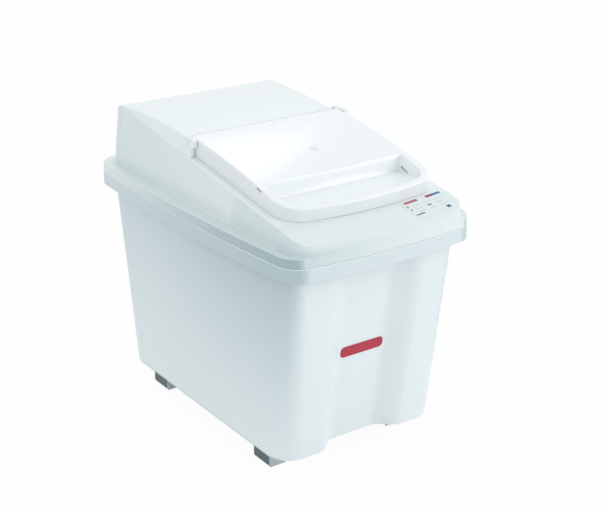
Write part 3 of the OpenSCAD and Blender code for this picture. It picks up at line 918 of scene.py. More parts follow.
    def build(self) -> list[Piece]:
        """Build the tub's pieces.

        Returns:
            The shell, the floor, and the ribs and bosses.
        """
        x, y, wall = self.castor_x, self.castor_y, self.rib_wall / 2
        side = self.sizes.base_width / 2 - self.sizes.tub_wall / 2
        under = [self.boss(i * x, j * y) for i in SIDES for j in SIDES]
        under += [self.rib((i * x - wall, -y), (i * x + wall, y)) for i in SIDES]
        under += [self.rib((-side, j * y - wall), (side, j * y + wall)) for j in SIDES]
        shape = self.shell()
        # The shade attribute carries the shell's painted shade and painted shadow line.
        shell = shape.piece("tub_shell", **{SHADE: self.depth(shape)})
        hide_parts("tub")
        return [shell, self.floor().piece("tub_floor"), under[0].joined(*under[1:]).piece("tub_underside")]

    def dress(self, pieces: list[Piece]) -> None:
        """Give the tub its satin white plastic."""
        TUB_PLASTIC.dress(*pieces)


@dataclass
class Hood:
    """The lid moulding: lip and ledge on the rim, walls, crown, step, deck round the mouth, and apron."""

    sizes: BinSizes = SIZES
    tub: Tub = field(default_factory=Tub)
    wall: float = 2.6
    side_edge: float = 3.5
    side_reach: float = 7.0
    fold_edge: float = 1.5
    fold_gap: float = 0.5
    fold_low: float = 3.0
    corner_steps: int = 14
    front_steps: int = 56
    rear_steps: int = 40
    line_steps: int = 400
    lug_steps: int = 16
    row_steps: tuple[int, ...] = (14, 44, 5, 3, 34)
    apron_run: float = 14.0
    edge_run: float = 9.0
    band_steps: int = 13
    foot_flare: float = 7.0
    foot_lift: float = 0.15
    foot_edge: float = 3.0
    flare_edge: float = 0.6
    flare_rises: Pair = (0.6, 1.2)
    hang_start: Pair = (-0.7, 0.3)
    hang_short: float = 0.4
    hang_guard: float = 0.95
    step_gap: float = 0.6
    step_round: float = 2.4
    deck_blend: float = 1.2
    lip_seat: float = 0.1
    lip_edges: tuple[float, ...] = (0.8, 2.0, 0.5, 0.8, 0.8, 0.8, 0.8, 0.8)
    plug: float = 4.0
    plug_wall: float = 2.5
    plug_depth: float = 10.0
    plate: float = 3.0
    mouth_inset: float = 7.5
    mouth_rear: float = 9.5
    coaming_rise: float = 9.0
    coaming_sinks: Pair = (1.5, 4.0)
    coaming_wall: float = 3.0
    coaming_corner: float = 3.0
    coaming_edges: tuple[float, ...] = (0, 1.0, 1.0, 0.8)
    lug_x: float = 146.7
    lug_thick: float = 8.0
    lug_length: float = 44.0
    lug_height: float = 18.0
    lug_edge: float = 1.2
    web_rear: float = 14.0
    web_sink: float = 4.0
    web_inset: float = 0.3
    web_corner: float = 1.0
    web_edge: float = 0.8
    rib_y: float = -115.0
    rib_low: Pair = (-1.6, -1.3)
    rib_high: Pair = (0.8, 1.3)
    rib_corners: tuple[float, ...] = (0.4, 0.7, 0.7, 0.4)
    rib_end: float = 1.0
    rib_edge: float = 0.6
    cap_radius: float = 6.4
    cap_rise: float = 2.6
    cap_shoulder: Pair = (0.6, 0.55)
    cap_edges: tuple[float, ...] = (0, 0.2, 0.8, 1.2, 0)
    # Shares of painted shade on the shell's walls, apron and front edge, and on the lip.
    wall_shade_places: tuple[float, ...] = (-250.0, -130.0, -105.0, 0.0, 150.0, 260.0)
    wall_shade_shares: tuple[float, ...] = (0.75, 0.62, 0.26, 0.36, 0.55, 0.72)
    wall_shade_out: Pair = (9.0, 4.0)
    wall_shade_fold: Pair = (1.5, 3.0)
    apron_fade: Pair = (30.0, 30.0)
    apron_share: float = 0.42
    hang_places: tuple[float, ...] = (-165.0, -140.0, -60.0, 60.0, 140.0, 165.0)
    hang_shares: tuple[float, ...] = (0.58, 0.55, 0.15, -0.08, -0.2, 0.1)
    hang_fade: Pair = (9.0, 5.0)
    lip_front: Pair = (0.36, 100.0)
    lip_out: Pair = (36.0, 28.0)
    lip_ahead: Triple = (0.16, 0.84, 0.8)
    lip_low: Pair = (0.35, 0.65)
    lip_fade: Pair = (-0.2, 1.6)

    def front_rows(self) -> Array:
        """Places along each side from the front corner to the step.

        Returns:
            The places.
        """
        s, steps = self.sizes, self.row_steps
        return runs((s.hood_front + s.hood_corner, 0), (s.apron_y + self.apron_run, steps[0]),
                    (s.step_y - self.step_gap, steps[1]))

    def rear_rows(self) -> Array:
        """Places along each side from the step to the rear corner, close together at the step's edge.

        Returns:
            The places.
        """
        s, steps = self.sizes, self.row_steps
        edge = s.step_y + self.step_gap
        return runs((edge, 0), (edge + self.step_round, steps[2]), (edge + self.edge_run, steps[3]),
                    (s.hood_rear - s.hood_corner, steps[4]))

    def plan(self) -> LoopPlan:
        """Plan of the hood's outline with its sides' samples at the two sets of rows.

        Returns:
            The plan.
        """
        s = self.sizes
        rows = np.concatenate([self.front_rows()[1:], self.rear_rows()[:-1]])
        middle, run = (s.hood_front + s.hood_rear) / 2, (s.hood_rear - s.hood_front) / 2 - s.hood_corner
        return LoopPlan.make(even(self.front_steps), (rows - middle) / run, even(self.rear_steps),
                             self.corner_steps)

    def edge_line(self, foot: Array) -> tuple[Array, Array]:
        """Crown's edge in side view: the parabola, turned down at the rear by a quarter circle, and moved
        forward by the share of its height that the rear wall leans.

        Args:
            foot: Places along the foot of the wall.

        Returns:
            For each of them the place along the bin and the height of the edge above it.
        """
        s = self.sizes
        back = ease((foot - s.lean_y) / (s.hood_rear - s.lean_y))
        turn = np.clip((foot - s.hood_rear + s.crown_edge) / s.crown_edge, 0.0, 1.0)
        z = s.crown_z(foot - s.rear_lean * back) - s.crown_edge * (1 - np.sqrt(1 - turn ** 2))
        return foot - back * s.rear_lean * (z - s.ledge_z) / s.crown_rise, z

    def top(self, y: Array) -> Array:
        """Height of the top: behind the step the crown's edge line with a rounded front edge, and before it
        the lower of deck and apron, blended by the root of their squared difference.

        Args:
            y: Places along the bin.

        Returns:
            The heights.
        """
        s = self.sizes
        edge = s.step_y + self.step_gap
        near = np.clip((edge + self.step_round - y) / self.step_round, 0.0, 1.0)
        turn = np.linspace(0.0, np.pi / 2, self.line_steps)
        line = self.edge_line(s.step_y + (s.hood_rear - s.step_y) * np.sin(turn))
        crown = np.interp(y, *line) - self.step_round * (1 - np.sqrt(np.maximum(1 - near ** 2, 0.0)))
        deck, apron = s.deck_z(y), s.apron_z(y)
        front = (deck + apron - np.sqrt((deck - apron) ** 2 + self.deck_blend)) / 2
        return np.where(y > s.step_y, crown, front)

    def walls(self) -> Array:
        """Walls as stations from foot to top: the foot's outline flares onto the ledge, and at the front over
        the lip; above it each point rises, leaning in by a share of its height, folds in further at the
        flank's line, and turns over the top edge onto the top.

        Returns:
            The stations as a K x N x 3 array; the last row lies on the top.
        """
        s = self.sizes
        plan = self.plan()
        bare = plan.loop(s.hood_half, s.hood_front, s.hood_rear, s.hood_corner)
        foot = plan.loop(s.hood_half, s.hood_front, s.hood_rear, s.hood_corner, (0.0, s.end_bow, s.end_bow))
        normal = np.column_stack([plan.arc_x, plan.arc_y])
        behind = foot[:, 1] > s.step_y
        back = ease((bare[:, 1] - s.lean_y) / (s.hood_rear - s.lean_y))
        bow = np.where(behind, foot[:, 1] - bare[:, 1], 0.0)
        top = np.where(behind, self.edge_line(bare[:, 1])[1], 0.0)
        top = np.where(bare[:, 1] > s.lean_y, top, self.top(foot[:, 1]))
        fold = np.minimum(s.deck_z(foot[:, 1]) - s.flank_drop, top - self.fold_gap)
        fold = np.maximum(fold, s.ledge_z + self.fold_low)
        lean = math.tan(math.radians(s.flank_lean)) * np.maximum(top - fold, 0.0)

        def at(z: Array, inset: Array | float) -> Array:
            """Points of the wall: those of the foot, which lean in and lose the bow with their height.

            Args:
                z: Height of each point.
                inset: Distance by which the sides are drawn in further.

            Returns:
                The points as an N x 3 array.
            """
            share = (z - s.ledge_z) / s.crown_rise
            x = foot[:, 0] - normal[:, 0] * (s.side_lean * share + inset * np.abs(normal[:, 0]))
            unbow = bow * np.minimum(1.0, share / (1 - s.crown_edge / s.crown_rise))
            return np.column_stack([x, foot[:, 1] - back * s.rear_lean * share - unbow, z])

        edge = at(top, lean)
        reach = self.side_reach * np.where(plan.arc_y > 0, plan.arc_x ** 2, 1.0)
        inner = edge.copy()
        inner[:, :2] -= normal * reach[:, None]
        inner[:, 2] = np.where((plan.arc_y == 0) | (reach < TINY), top, self.top(inner[:, 1]))
        ahead = ease(-plan.arc_y)
        gap = s.lip_inset - self.foot_lift
        lip = plan.loop(s.rim_width / 2 - gap, gap - s.rim_length / 2, s.rim_length / 2 - gap, s.rim_corner,
                        (s.side_bow, s.end_bow, s.end_bow))
        flare = (foot + normal * self.foot_flare) * (1 - ahead[:, None]) + lip * ahead[:, None]
        low = s.ledge_z + self.foot_lift
        hang = fade(ahead, self.hang_start) * (s.hood_lip - self.hang_short)
        stack = np.stack([
            at_height(flare, low - hang), at_height(flare, low - self.hang_guard * hang),
            at_height(flare, low + self.flare_rises[0] * ahead), at(low + self.flare_rises[1] * ahead, 0.0),
            at(fold, 0.0), edge, inner,
        ])
        edges = [0, 0, self.flare_edge, self.foot_edge, self.fold_edge, self.side_edge, 0]
        return soften(stack, edges, steps=6)

    def skin(self) -> Surface:
        """Outer skin: the walls, the crown as a grid between its side edges, the step, and the deck and apron
        as a band between the walls' top edge and the mouth.

        Returns:
            An open surface with edges at the foot and round the mouth.
        """
        s = self.sizes
        walls = self.walls()
        rim = walls[-1]
        plan = self.plan()
        front_count, rear_count = len(self.front_rows()) - 1, len(self.rear_rows())
        corner, ends = self.corner_steps + 1, self.rear_steps - 1
        right = np.arange(corner + front_count, corner + front_count + rear_count - 1 + corner)
        left = (right[-1] + ends + 1 + np.arange(len(right)))[::-1]
        across = np.concatenate([[-1.0], even(self.rear_steps), [1.0]])
        share = ((across + 1) / 2)[None, :, None]
        crown = rim[left][:, None] * (1 - share) + rim[right][:, None] * share
        crown[-1, 1:-1] = rim[right[-1] + 1:right[-1] + 1 + ends][::-1]
        sill = rim[left[0] + 1] * (1 - share[0]) + rim[right[0] - 1] * share[0]
        rest = np.concatenate([np.arange(left[0] + 2, len(rim)), np.arange(right[0] - 1)])
        loop = np.concatenate([sill[::-1], rim[rest]])
        half = s.flap_half - self.mouth_inset
        back = np.column_stack([half * across[::-1], 0 * across + self.mouth_rear])
        mouth = np.concatenate([back, self.mouth(plan, rest, plan.run_y[right[0] - 1])])
        t = np.linspace(0.0, 1.0, self.band_steps)[:, None, None]
        band = loop * (1 - t) + at_height(mouth, loop[:, 2]) * t
        band[1:, :, 2] = self.top(np.minimum(band[1:, :, 1], s.step_y - self.step_gap))
        inside, behind_step = (0.0, 60.0, s.ledge_z - 40.0), (0.0, 200.0, s.ledge_z)
        return Surface.grid(walls, loop=True).away(inside).joined(
            Surface.grid(crown).away(inside),
            Surface.grid(np.stack([sill, crown[0]])).away(behind_step),
            Surface.grid(band, loop=True).away(inside),
        ).welded(gap=0.02)

    def mouth(self, plan: LoopPlan, index: Array, sill: float) -> Array:
        """Sides and front of the mouth: the outer outline's shares and arcs set on the mouth's own sizes,
        with its front bowed forward by a parabola.

        Args:
            plan: Plan of the hood's outline.
            index: Which of the plan's points to take.
            sill: Share of the sides' run at which the mouth's rear lies.

        Returns:
            A point in plan for each index.
        """
        s = self.sizes
        half, corner = s.flap_half - self.mouth_inset, s.flap_corner - self.mouth_inset
        start = s.apron_y + s.flap_bow + s.flap_corner
        x = plan.run_x[index] * (half - corner) + corner * plan.arc_x[index]
        run = (plan.run_y[index] + 1) / (sill + 1) * (self.mouth_rear - start)
        bow = np.where(plan.run_y[index] == -1, s.flap_bow * (1 - (x / half) ** 2), 0.0)
        return np.column_stack([x, start + run + corner * plan.arc_y[index] - bow])

    def skirt(self) -> Surface:
        """Lip, ledge and locating rib: a profile of eight corners carried round the rim, closed on itself.

        Returns:
            A closed surface.
        """
        s, tub = self.sizes, self.tub
        outer, inner = s.lip_inset, s.lip_inset + self.plate
        seat, under, low = s.rim_z + self.lip_seat, s.ledge_z - self.plate, s.rim_z - self.plug_depth
        reach, deep = self.plug, self.plug + self.plug_wall
        return tube([
            tub.rim(seat, outer), tub.rim(s.ledge_z, outer), at_height(tub.wall(s.rim_z, deep), s.ledge_z),
            tub.wall(low, deep), tub.wall(low, reach), at_height(tub.wall(s.rim_z, reach), under),
            tub.rim(under, inner), tub.rim(seat, inner),
        ], self.lip_edges)

    def coaming(self) -> Surface:
        """Upstand round the mouth: an oblong profile carried round the flap's outline, following the deck.

        Returns:
            A closed surface.
        """
        s = self.sizes
        plan = LoopPlan.make(even(40), even(40), even(30), corner_steps=10)
        square = (plan.arc_y > 0.0) & (plan.arc_x != 0.0)
        way_x, way_y = plan.arc_x[square], plan.arc_y[square]

        def ring(inset: float, rear: float, rise: float) -> Array:
            """Outline at a height over the deck: the flap's, drawn in, with small corners at its rear.

            Args:
                inset: Distance in from the flap's edge.
                rear: Place of the rear end.
                rise: Height over the deck.

            Returns:
                The outline as an N x 3 array.
            """
            half, front, r = s.flap_half - inset, s.apron_y + s.flap_bow + inset, self.coaming_corner
            loop = plan.loop(half, front, rear, s.flap_corner - inset, (0.0, s.flap_bow, 0.0))
            turn_x = np.sign(way_x) * (half - r + r * np.abs(way_x))
            loop[square] = np.column_stack([turn_x, rear - r + r * way_y])
            return at_height(loop, s.deck_z(loop[:, 1]) + rise)

        inner, rear, rise = self.mouth_inset, self.mouth_rear, self.coaming_rise
        outer, back = inner - self.coaming_wall, rear + self.coaming_wall
        sink = self.coaming_sinks
        return tube([ring(outer, back, -sink[0]), ring(outer, back, rise), ring(inner, rear, rise),
                     ring(inner, rear, -sink[1])], self.coaming_edges, steps=4)

    def lug(self, side: int) -> Surface:
        """Hinge lug: a round-ended outline in side view, as a slab across the bin, on a web down to the deck.

        Args:
            side: -1 for the left lug, 1 for the right one.

        Returns:
            A surface of two closed parts.
        """
        s = self.sizes
        flat, r = (self.lug_length - self.lug_height) / 2, self.lug_height / 2
        turn = np.linspace(-np.pi / 2, np.pi / 2, self.lug_steps + 1)
        ends = np.concatenate([np.column_stack([flat + r * np.cos(turn), r * np.sin(turn)]),
                               np.column_stack([-flat - r * np.cos(turn), -r * np.sin(turn)])])
        hinge = [s.hinge_y, s.hinge_z]
        head = slab(ends + hinge, 0.0, self.lug_thick, self.lug_edge)
        low = -s.hinge_rise + s.deck_rise - self.web_sink
        loop = oblong((-flat, low), (self.web_rear, -self.web_sink), [self.web_corner] * 4)
        web = slab(loop + hinge, self.web_inset, self.lug_thick - self.web_inset, self.web_edge)
        start = self.lug_x if side > 0 else -self.lug_x - self.lug_thick
        return head.joined(web).turned().moved(x=start)

    def cap(self, side: int) -> Surface:
        """Cover of a hinge pin's head: a turned dome on the lug's outer face.

        Args:
            side: -1 for the left cap, 1 for the right one.

        Returns:
            A closed surface.
        """
        r, h = self.cap_radius, self.cap_rise
        flat, shoulder = self.cap_shoulder
        profile = [(0.0, 0.0), (r, 0.0), (r, shoulder * h), (flat * r, h), (0.0, h)]
        dome = lathe(rounded(profile, self.cap_edges, steps=4), steps=40).turned().on_side(side)
        return dome.moved(side * (self.lug_x + self.lug_thick), self.sizes.hinge_y, self.sizes.hinge_z)

    def rib(self, side: int) -> Surface:
        """Upright rib on a side wall: a thin rounded bar that leans with the wall and stands out of it.

        Args:
            side: -1 for the left rib, 1 for the right one.

        Returns:
            A closed surface.
        """
        s = self.sizes
        low, high = s.ledge_z - self.rib_end, s.deck_z(self.rib_y) - s.flank_drop - self.rib_end
        bar = slab(oblong(self.rib_low, self.rib_high, self.rib_corners), low, high, self.rib_edge)
        lean = s.side_lean * (bar.points[:, 2] - s.ledge_z) / s.crown_rise
        points = bar.points + np.column_stack([s.hood_half - lean, 0 * lean + self.rib_y, 0 * lean])
        return Surface(points, bar.faces).on_side(side)

    def painted_wall_shade(self, shell: Surface) -> Array:
        """Painted shade on the shell: how much greyer it looks on the apron, on its front edge by shares that
        run across the bin, darker at the left, and on the side walls below the flank by shares along it.

        Args:
            shell: The shell's surface.

        Returns:
            A share for each point.
        """
        s = self.sizes
        x, y, z = shell.points.T
        wall = fade(np.abs(x) - s.hood_half, self.wall_shade_out)
        wall = wall * fade(s.deck_z(y) - s.flank_drop - z, self.wall_shade_fold)
        along = np.interp(y, self.wall_shade_places, self.wall_shade_shares)
        hang = fade(s.ledge_z - z, self.hang_fade) * np.interp(x, self.hang_places, self.hang_shares)
        return np.maximum(fade(s.apron_y - y, self.apron_fade) * (self.apron_share + hang), along * wall)

    def depth(self, lip: Surface) -> Array:
        """Painted shade on the lip: more towards the front along the sides, most at the front corners, less
        along the front and little along the rear.

        Args:
            lip: The lip's surface.

        Returns:
            A share from 0 to 1 for each point.
        """
        s = self.sizes
        x, y, z = lip.points.T
        front = self.lip_front[0] * ease(-y / self.lip_front[1])
        out = front + (1 - front) * fade(np.abs(x) - s.rim_width / 2, self.lip_out)
        base, gain, power = self.lip_ahead
        ahead = base + gain * ease((s.rim_length / 2 - y) / s.rim_length) ** power
        return ahead * out * (self.lip_low[0] + self.lip_low[1] * fade(s.ledge_z - z, self.lip_fade))

    def build(self) -> list[Piece]:
        """Build the hood's pieces.

        Returns:
            The skin with its wall thickness, the coaming, the lugs with their caps, the ribs and the lip.
        """
        shape, lip = self.skin(), self.skirt()
        # The shade attributes carry painted shade on the shell and on the lip.
        skin = shape.piece("hood_shell", **{SHADE: self.painted_wall_shade(shape)})
        thicken(skin, self.wall)
        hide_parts("hood")
        lugs = self.lug(-1).joined(self.lug(1), self.cap(-1), self.cap(1))
        return [skin, self.coaming().piece("mouth_coaming"), lugs.piece("hinge_lugs"),
                self.rib(-1).joined(self.rib(1)).piece("hood_ribs"),
                lip.piece("hood_lip", **{SHADE: self.depth(lip)})]

    def dress(self, pieces: list[Piece]) -> None:
        """Give the hood its milky plastic, and the lip the one with a darker painted shade."""
        HOOD_PLASTIC.dress(*pieces[:-1])
        LIP_PLASTIC.dress(pieces[-1])


@dataclass
class Flap:
    """The glossy cover over the mouth: arched top with a sunk grip, dark slabs as painted slit shadows, a
    gate mark, side skirts and a hinge barrel."""

    sizes: BinSizes = SIZES
    wall: float = 2.2
    edge: float = 3.0
    reach: float = 6.0
    seat: float = 0.15
    foot: float = 0.8
    bow_fade: Pair = (-120.0, 100.0)
    row_steps: tuple[int, ...] = (12, 14, 60)
    column_steps: tuple[int, ...] = (34, 26)
    grip_half: float = 132.0
    grip_y: float = -166.0
    grip_front: float = 9.0
    grip_corner: float = 24.0
    grip_rear_corner: float = 4.0
    grip_rise: float = 47.0
    grip_rows: Pair = (8.0, 4.0)
    grip_side: float = 8.0
    grip_bow: float = 30.0
    riser: float = 6.0
    barrel: float = 8.0
    barrel_edges: tuple[float, ...] = (0, 0, 0.4, 1.2, 1.2, 0.4, 0, 0)
    bore: float = 3.05
    bore_depth: float = 14.3
    # Places and sizes of the dark slabs that stand for painted slit shadows.
    notch_y: float = -175.0
    notch_inset: float = 0.5
    notch_drop: float = 2.8
    notch_size: Triple = (1.4, 13.0, 1.8)
    slit_place: Pair = (127.8, -185.0)
    slit_rise: float = 4.0
    slit_slope: float = 0.35
    slit_size: Triple = (2.4, 20.0, 0.8)
    slit_rounding: Pair = (0.9, 0.4)
    gate_place: Pair = (8.0, -101.0)
    gate_radius: float = 8.0
    gate_flat: float = 4.0
    gate_sink: float = 0.4
    gate_rise: float = 0.25
    gate_edges: tuple[float, ...] = (0, 0, 0.3, 2.0, 0)
    # Share of painted shade on the flap's skirts.
    skirt_shade_share: float = 0.8
    skirt_shade_out: Pair = (-0.5, 1.5)
    skirt_shade_drop: Pair = (-1.0, 3.0)

    def ends(self) -> Pair:
        """Places of the flap's front before its bow, and of the rear end that its outline would have."""
        return self.sizes.apron_y + self.sizes.flap_bow, self.sizes.flap_rear + self.sizes.flap_corner

    def columns(self) -> Array:
        """Shares across the flap, close together at the grip's side walls.

        Returns:
            The shares from -1 to 1.
        """
        inner, outer = self.column_steps
        half = runs((0.0, 0), ((self.grip_half - self.grip_side) / self.sizes.flap_half, inner), (1.0, outer))
        return np.concatenate([-half[:0:-1], half])

    def plan(self) -> LoopPlan:
        """Plan of the flap's outline, with its sides' samples close together at the grip's riser.

        Returns:
            The plan.
        """
        front, rear = self.ends()
        start, end = front + self.sizes.flap_corner, rear - self.sizes.flap_corner
        stops = start, self.grip_y - self.grip_rows[0], self.grip_y + self.grip_rows[1], end
        rows = runs(*zip(stops, (0, *self.row_steps)))
        sides = (2 * rows[1:-1] - start - end) / (end - start)
        return LoopPlan.make(self.columns()[1:-1], sides, even(4), corner_steps=16)

    def within(self, x: Array, y: Array, ends: Pair, half: float, corner: float) -> Array:
        """Distance in from the edge of an oblong with rounded corners, whose front is bowed like the flap's.

        Args:
            x: Places across.
            y: Places along.
            ends: Places of the oblong's front and rear.
            half: Half its width.
            corner: Radius of its front corners.

        Returns:
            The distances, negative outside.
        """
        s = self.sizes
        run = y + s.flap_bow * (1 - (x / s.flap_half) ** 2) * ease((self.grip_y - y) / self.grip_bow)
        middle, deep = (ends[0] + ends[1]) / 2, (ends[1] - ends[0]) / 2
        r = np.where(run < middle, corner, self.grip_rear_corner)
        a, b = np.abs(x) - half + r, np.abs(run - middle) - deep + r
        return r - np.hypot(np.maximum(a, 0), np.maximum(b, 0)) - np.minimum(np.maximum(a, b), 0)

    def height(self, x: Array, y: Array) -> Array:
        """Height of the top: the arch, sunk to the grip's floor by a smooth step of the distance to the
        grip's outline, a bowed oblong with rounded corners.

        Args:
            x: Places across.
            y: Places along.

        Returns:
            The heights.
        """
        s = self.sizes
        front = self.ends()[0] + self.grip_front
        inside = self.within(x, y, (front, self.grip_y), self.grip_half, self.grip_corner)
        top = s.flap_z(y)
        return top - (top - s.ledge_z - self.grip_rise) * ease(inside / self.riser)

    def painted_skirt_shade(self, skin: Surface) -> Array:
        """Painted shade: how much greyer the skirts look than the top, below its rounded edge.

        Args:
            skin: The cover's surface.

        Returns:
            A share from 0 to 1 for each point.
        """
        s = self.sizes
        x, y, z = skin.points.T
        outer = 1 - fade(self.within(x, y, self.ends(), s.flap_half, s.flap_corner), self.skirt_shade_out)
        return self.skirt_shade_share * outer * fade(s.flap_z(y) - z, self.skirt_shade_drop)

    def skin(self) -> Surface:
        """Outer skin: skirts from the deck up to the top edge, and the top as a grid between the side edges.

        Returns:
            An open surface with edges at the skirts' foot and at the rear.
        """
        s = self.sizes
        plan = self.plan()
        front, rear = self.ends()
        loop = plan.loop(s.flap_half, front, rear, s.flap_corner)
        ahead = (plan.run_y == -1) & (loop[:, 1] < front + s.flap_corner)
        loop[:, 1] -= s.flap_bow * (1 - (loop[:, 0] / s.flap_half) ** 2) * ahead
        behind = (plan.run_y == 1) | (plan.arc_y > 0)
        first, last = int(np.argmax(behind)), len(behind) - 1 - int(np.argmax(behind[::-1]))
        order = np.concatenate([np.arange(last + 1, len(behind)), np.arange(first)])
        normal = np.column_stack([plan.arc_x, plan.arc_y])[order]
        outer = np.concatenate([[[-s.flap_half, s.flap_rear]], loop[order], [[s.flap_half, s.flap_rear]]])
        normal = np.concatenate([[[-1.0, 0.0]], normal, [[1.0, 0.0]]])
        inner = outer - normal * self.reach
        seat = s.deck_z(outer[:, 1]) + self.seat
        walls = soften(np.stack([
            at_height(outer, seat), at_height(outer, seat + self.foot),
            at_height(outer, s.flap_z(outer[:, 1])), at_height(inner, self.height(inner[:, 0], inner[:, 1])),
        ]), [0, 0, self.edge, 0], steps=6)
        rim = walls[-1]
        columns = self.columns()
        count = (len(rim) - (len(columns) - 2)) // 2
        left, right = rim[:count][::-1], rim[-count:]
        share = ((columns + 1) / 2)[None, :, None]
        top = left[:, None] * (1 - share) + right[:, None] * share
        bow = s.flap_bow * ((left[:, None, 0] ** 2 - top[..., 0] ** 2) / s.flap_half ** 2)
        top[..., 1] -= bow * fade(-left[:, None, 1], self.bow_fade)
        top[0, 1:-1] = rim[count:-count]
        top[1:, 1:-1, 2] = self.height(top[1:, 1:-1, 0], top[1:, 1:-1, 1])
        inside = (0.0, -110.0, s.ledge_z)
        return Surface.grid(walls).away(inside).joined(Surface.grid(top).away(inside)).welded(gap=0.02)

    def hinge(self) -> Surface:
        """Hinge barrel: a turned rod across the flap with a blind bore in each end.

        Returns:
            A closed surface.
        """
        s = self.sizes
        end, deep = s.flap_half, s.flap_half - self.bore_depth
        profile = two_sided([(self.barrel, end), (self.bore, end), (self.bore, deep), (0.0, deep)])
        return lathe(rounded(profile, self.barrel_edges, steps=4)).turned().moved(y=s.hinge_y, z=s.hinge_z)

    def shadow_slab(self, side: int, place: Triple, slope: float, size: Triple) -> Surface:
        """Painted slit shadow beside the grip: a dark rounded slab whose height rises evenly with its length.

        Args:
            side: -1 for the left half, 1 for the right one.
            place: Middle of the slit on the right half.
            slope: Rise for each unit of length towards the hinge.
            size: Width, length and thickness.

        Returns:
            A closed surface.
        """
        w, l, h = (v / 2 for v in size)
        corner, edge = self.slit_rounding
        bar = slab(oblong((-w, -l), (w, l), [corner * w] * 4), -h, h, edge * h)
        points = bar.points + place
        points[:, 2] += slope * bar.points[:, 1]
        return Surface(points, bar.faces).on_side(side)

    def slit_shadows(self) -> Surface:
        """Painted slit shadows in pairs: dark slabs, one at each outer edge along the arch, one on each side
        wall of the grip.

        Returns:
            The four slit shadows as one surface.
        """
        s = self.sizes
        near, far = s.flap_z(np.array([self.notch_y - 1, self.notch_y + 1]))
        outer = (s.flap_half - self.notch_inset, self.notch_y, (near + far) / 2 - self.notch_drop)
        inner = (*self.slit_place, s.ledge_z + self.grip_rise + self.slit_rise)
        made = [self.shadow_slab(side, outer, (far - near) / 2, self.notch_size) for side in SIDES]
        made += [self.shadow_slab(side, inner, self.slit_slope, self.slit_size) for side in SIDES]
        return made[0].joined(*made[1:])

    def gate(self) -> Surface:
        """Gate mark: a low turned disc with a soft edge, lifted onto the arch.

        Returns:
            A closed surface.
        """
        r, low, high = self.gate_radius, -self.gate_sink, self.gate_rise
        profile = [(0.0, low), (r, low), (r, 0.0), (self.gate_flat, high), (0.0, high)]
        disc = lathe(rounded(profile, self.gate_edges, steps=4), steps=40).moved(*self.gate_place)
        rise = self.sizes.flap_z(disc.points[:, 1])
        return Surface(disc.points + np.column_stack([0 * rise, 0 * rise, rise]), disc.faces)

    def build(self) -> list[Piece]:
        """Build the flap's pieces.

        Returns:
            The cover with its wall thickness, the hinge barrel, the painted slit shadows and the gate mark.
        """
        shape = self.skin()
        # The shade attribute carries the skirts' painted shade.
        skin = shape.piece("flap_cover", **{SHADE: self.painted_skirt_shade(shape)})
        thicken(skin, self.wall)
        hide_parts("flap")
        return [skin, self.hinge().piece("flap_barrel"), self.slit_shadows().piece("flap_slit_shadows"),
                self.gate().piece("flap_gate_mark")]

    def dress(self, pieces: list[Piece]) -> None:
        """Give the flap its glossy white plastic, the slit shadows their dark grey and the gate mark its own.

        Args:
            pieces: The pieces in the order in which build gives them.
        """
        FLAP_PLASTIC.dress(*pieces[:2])
        SLIT_SHADOW.dress(pieces[2])
        GATE_MARK.dress(pieces[3])


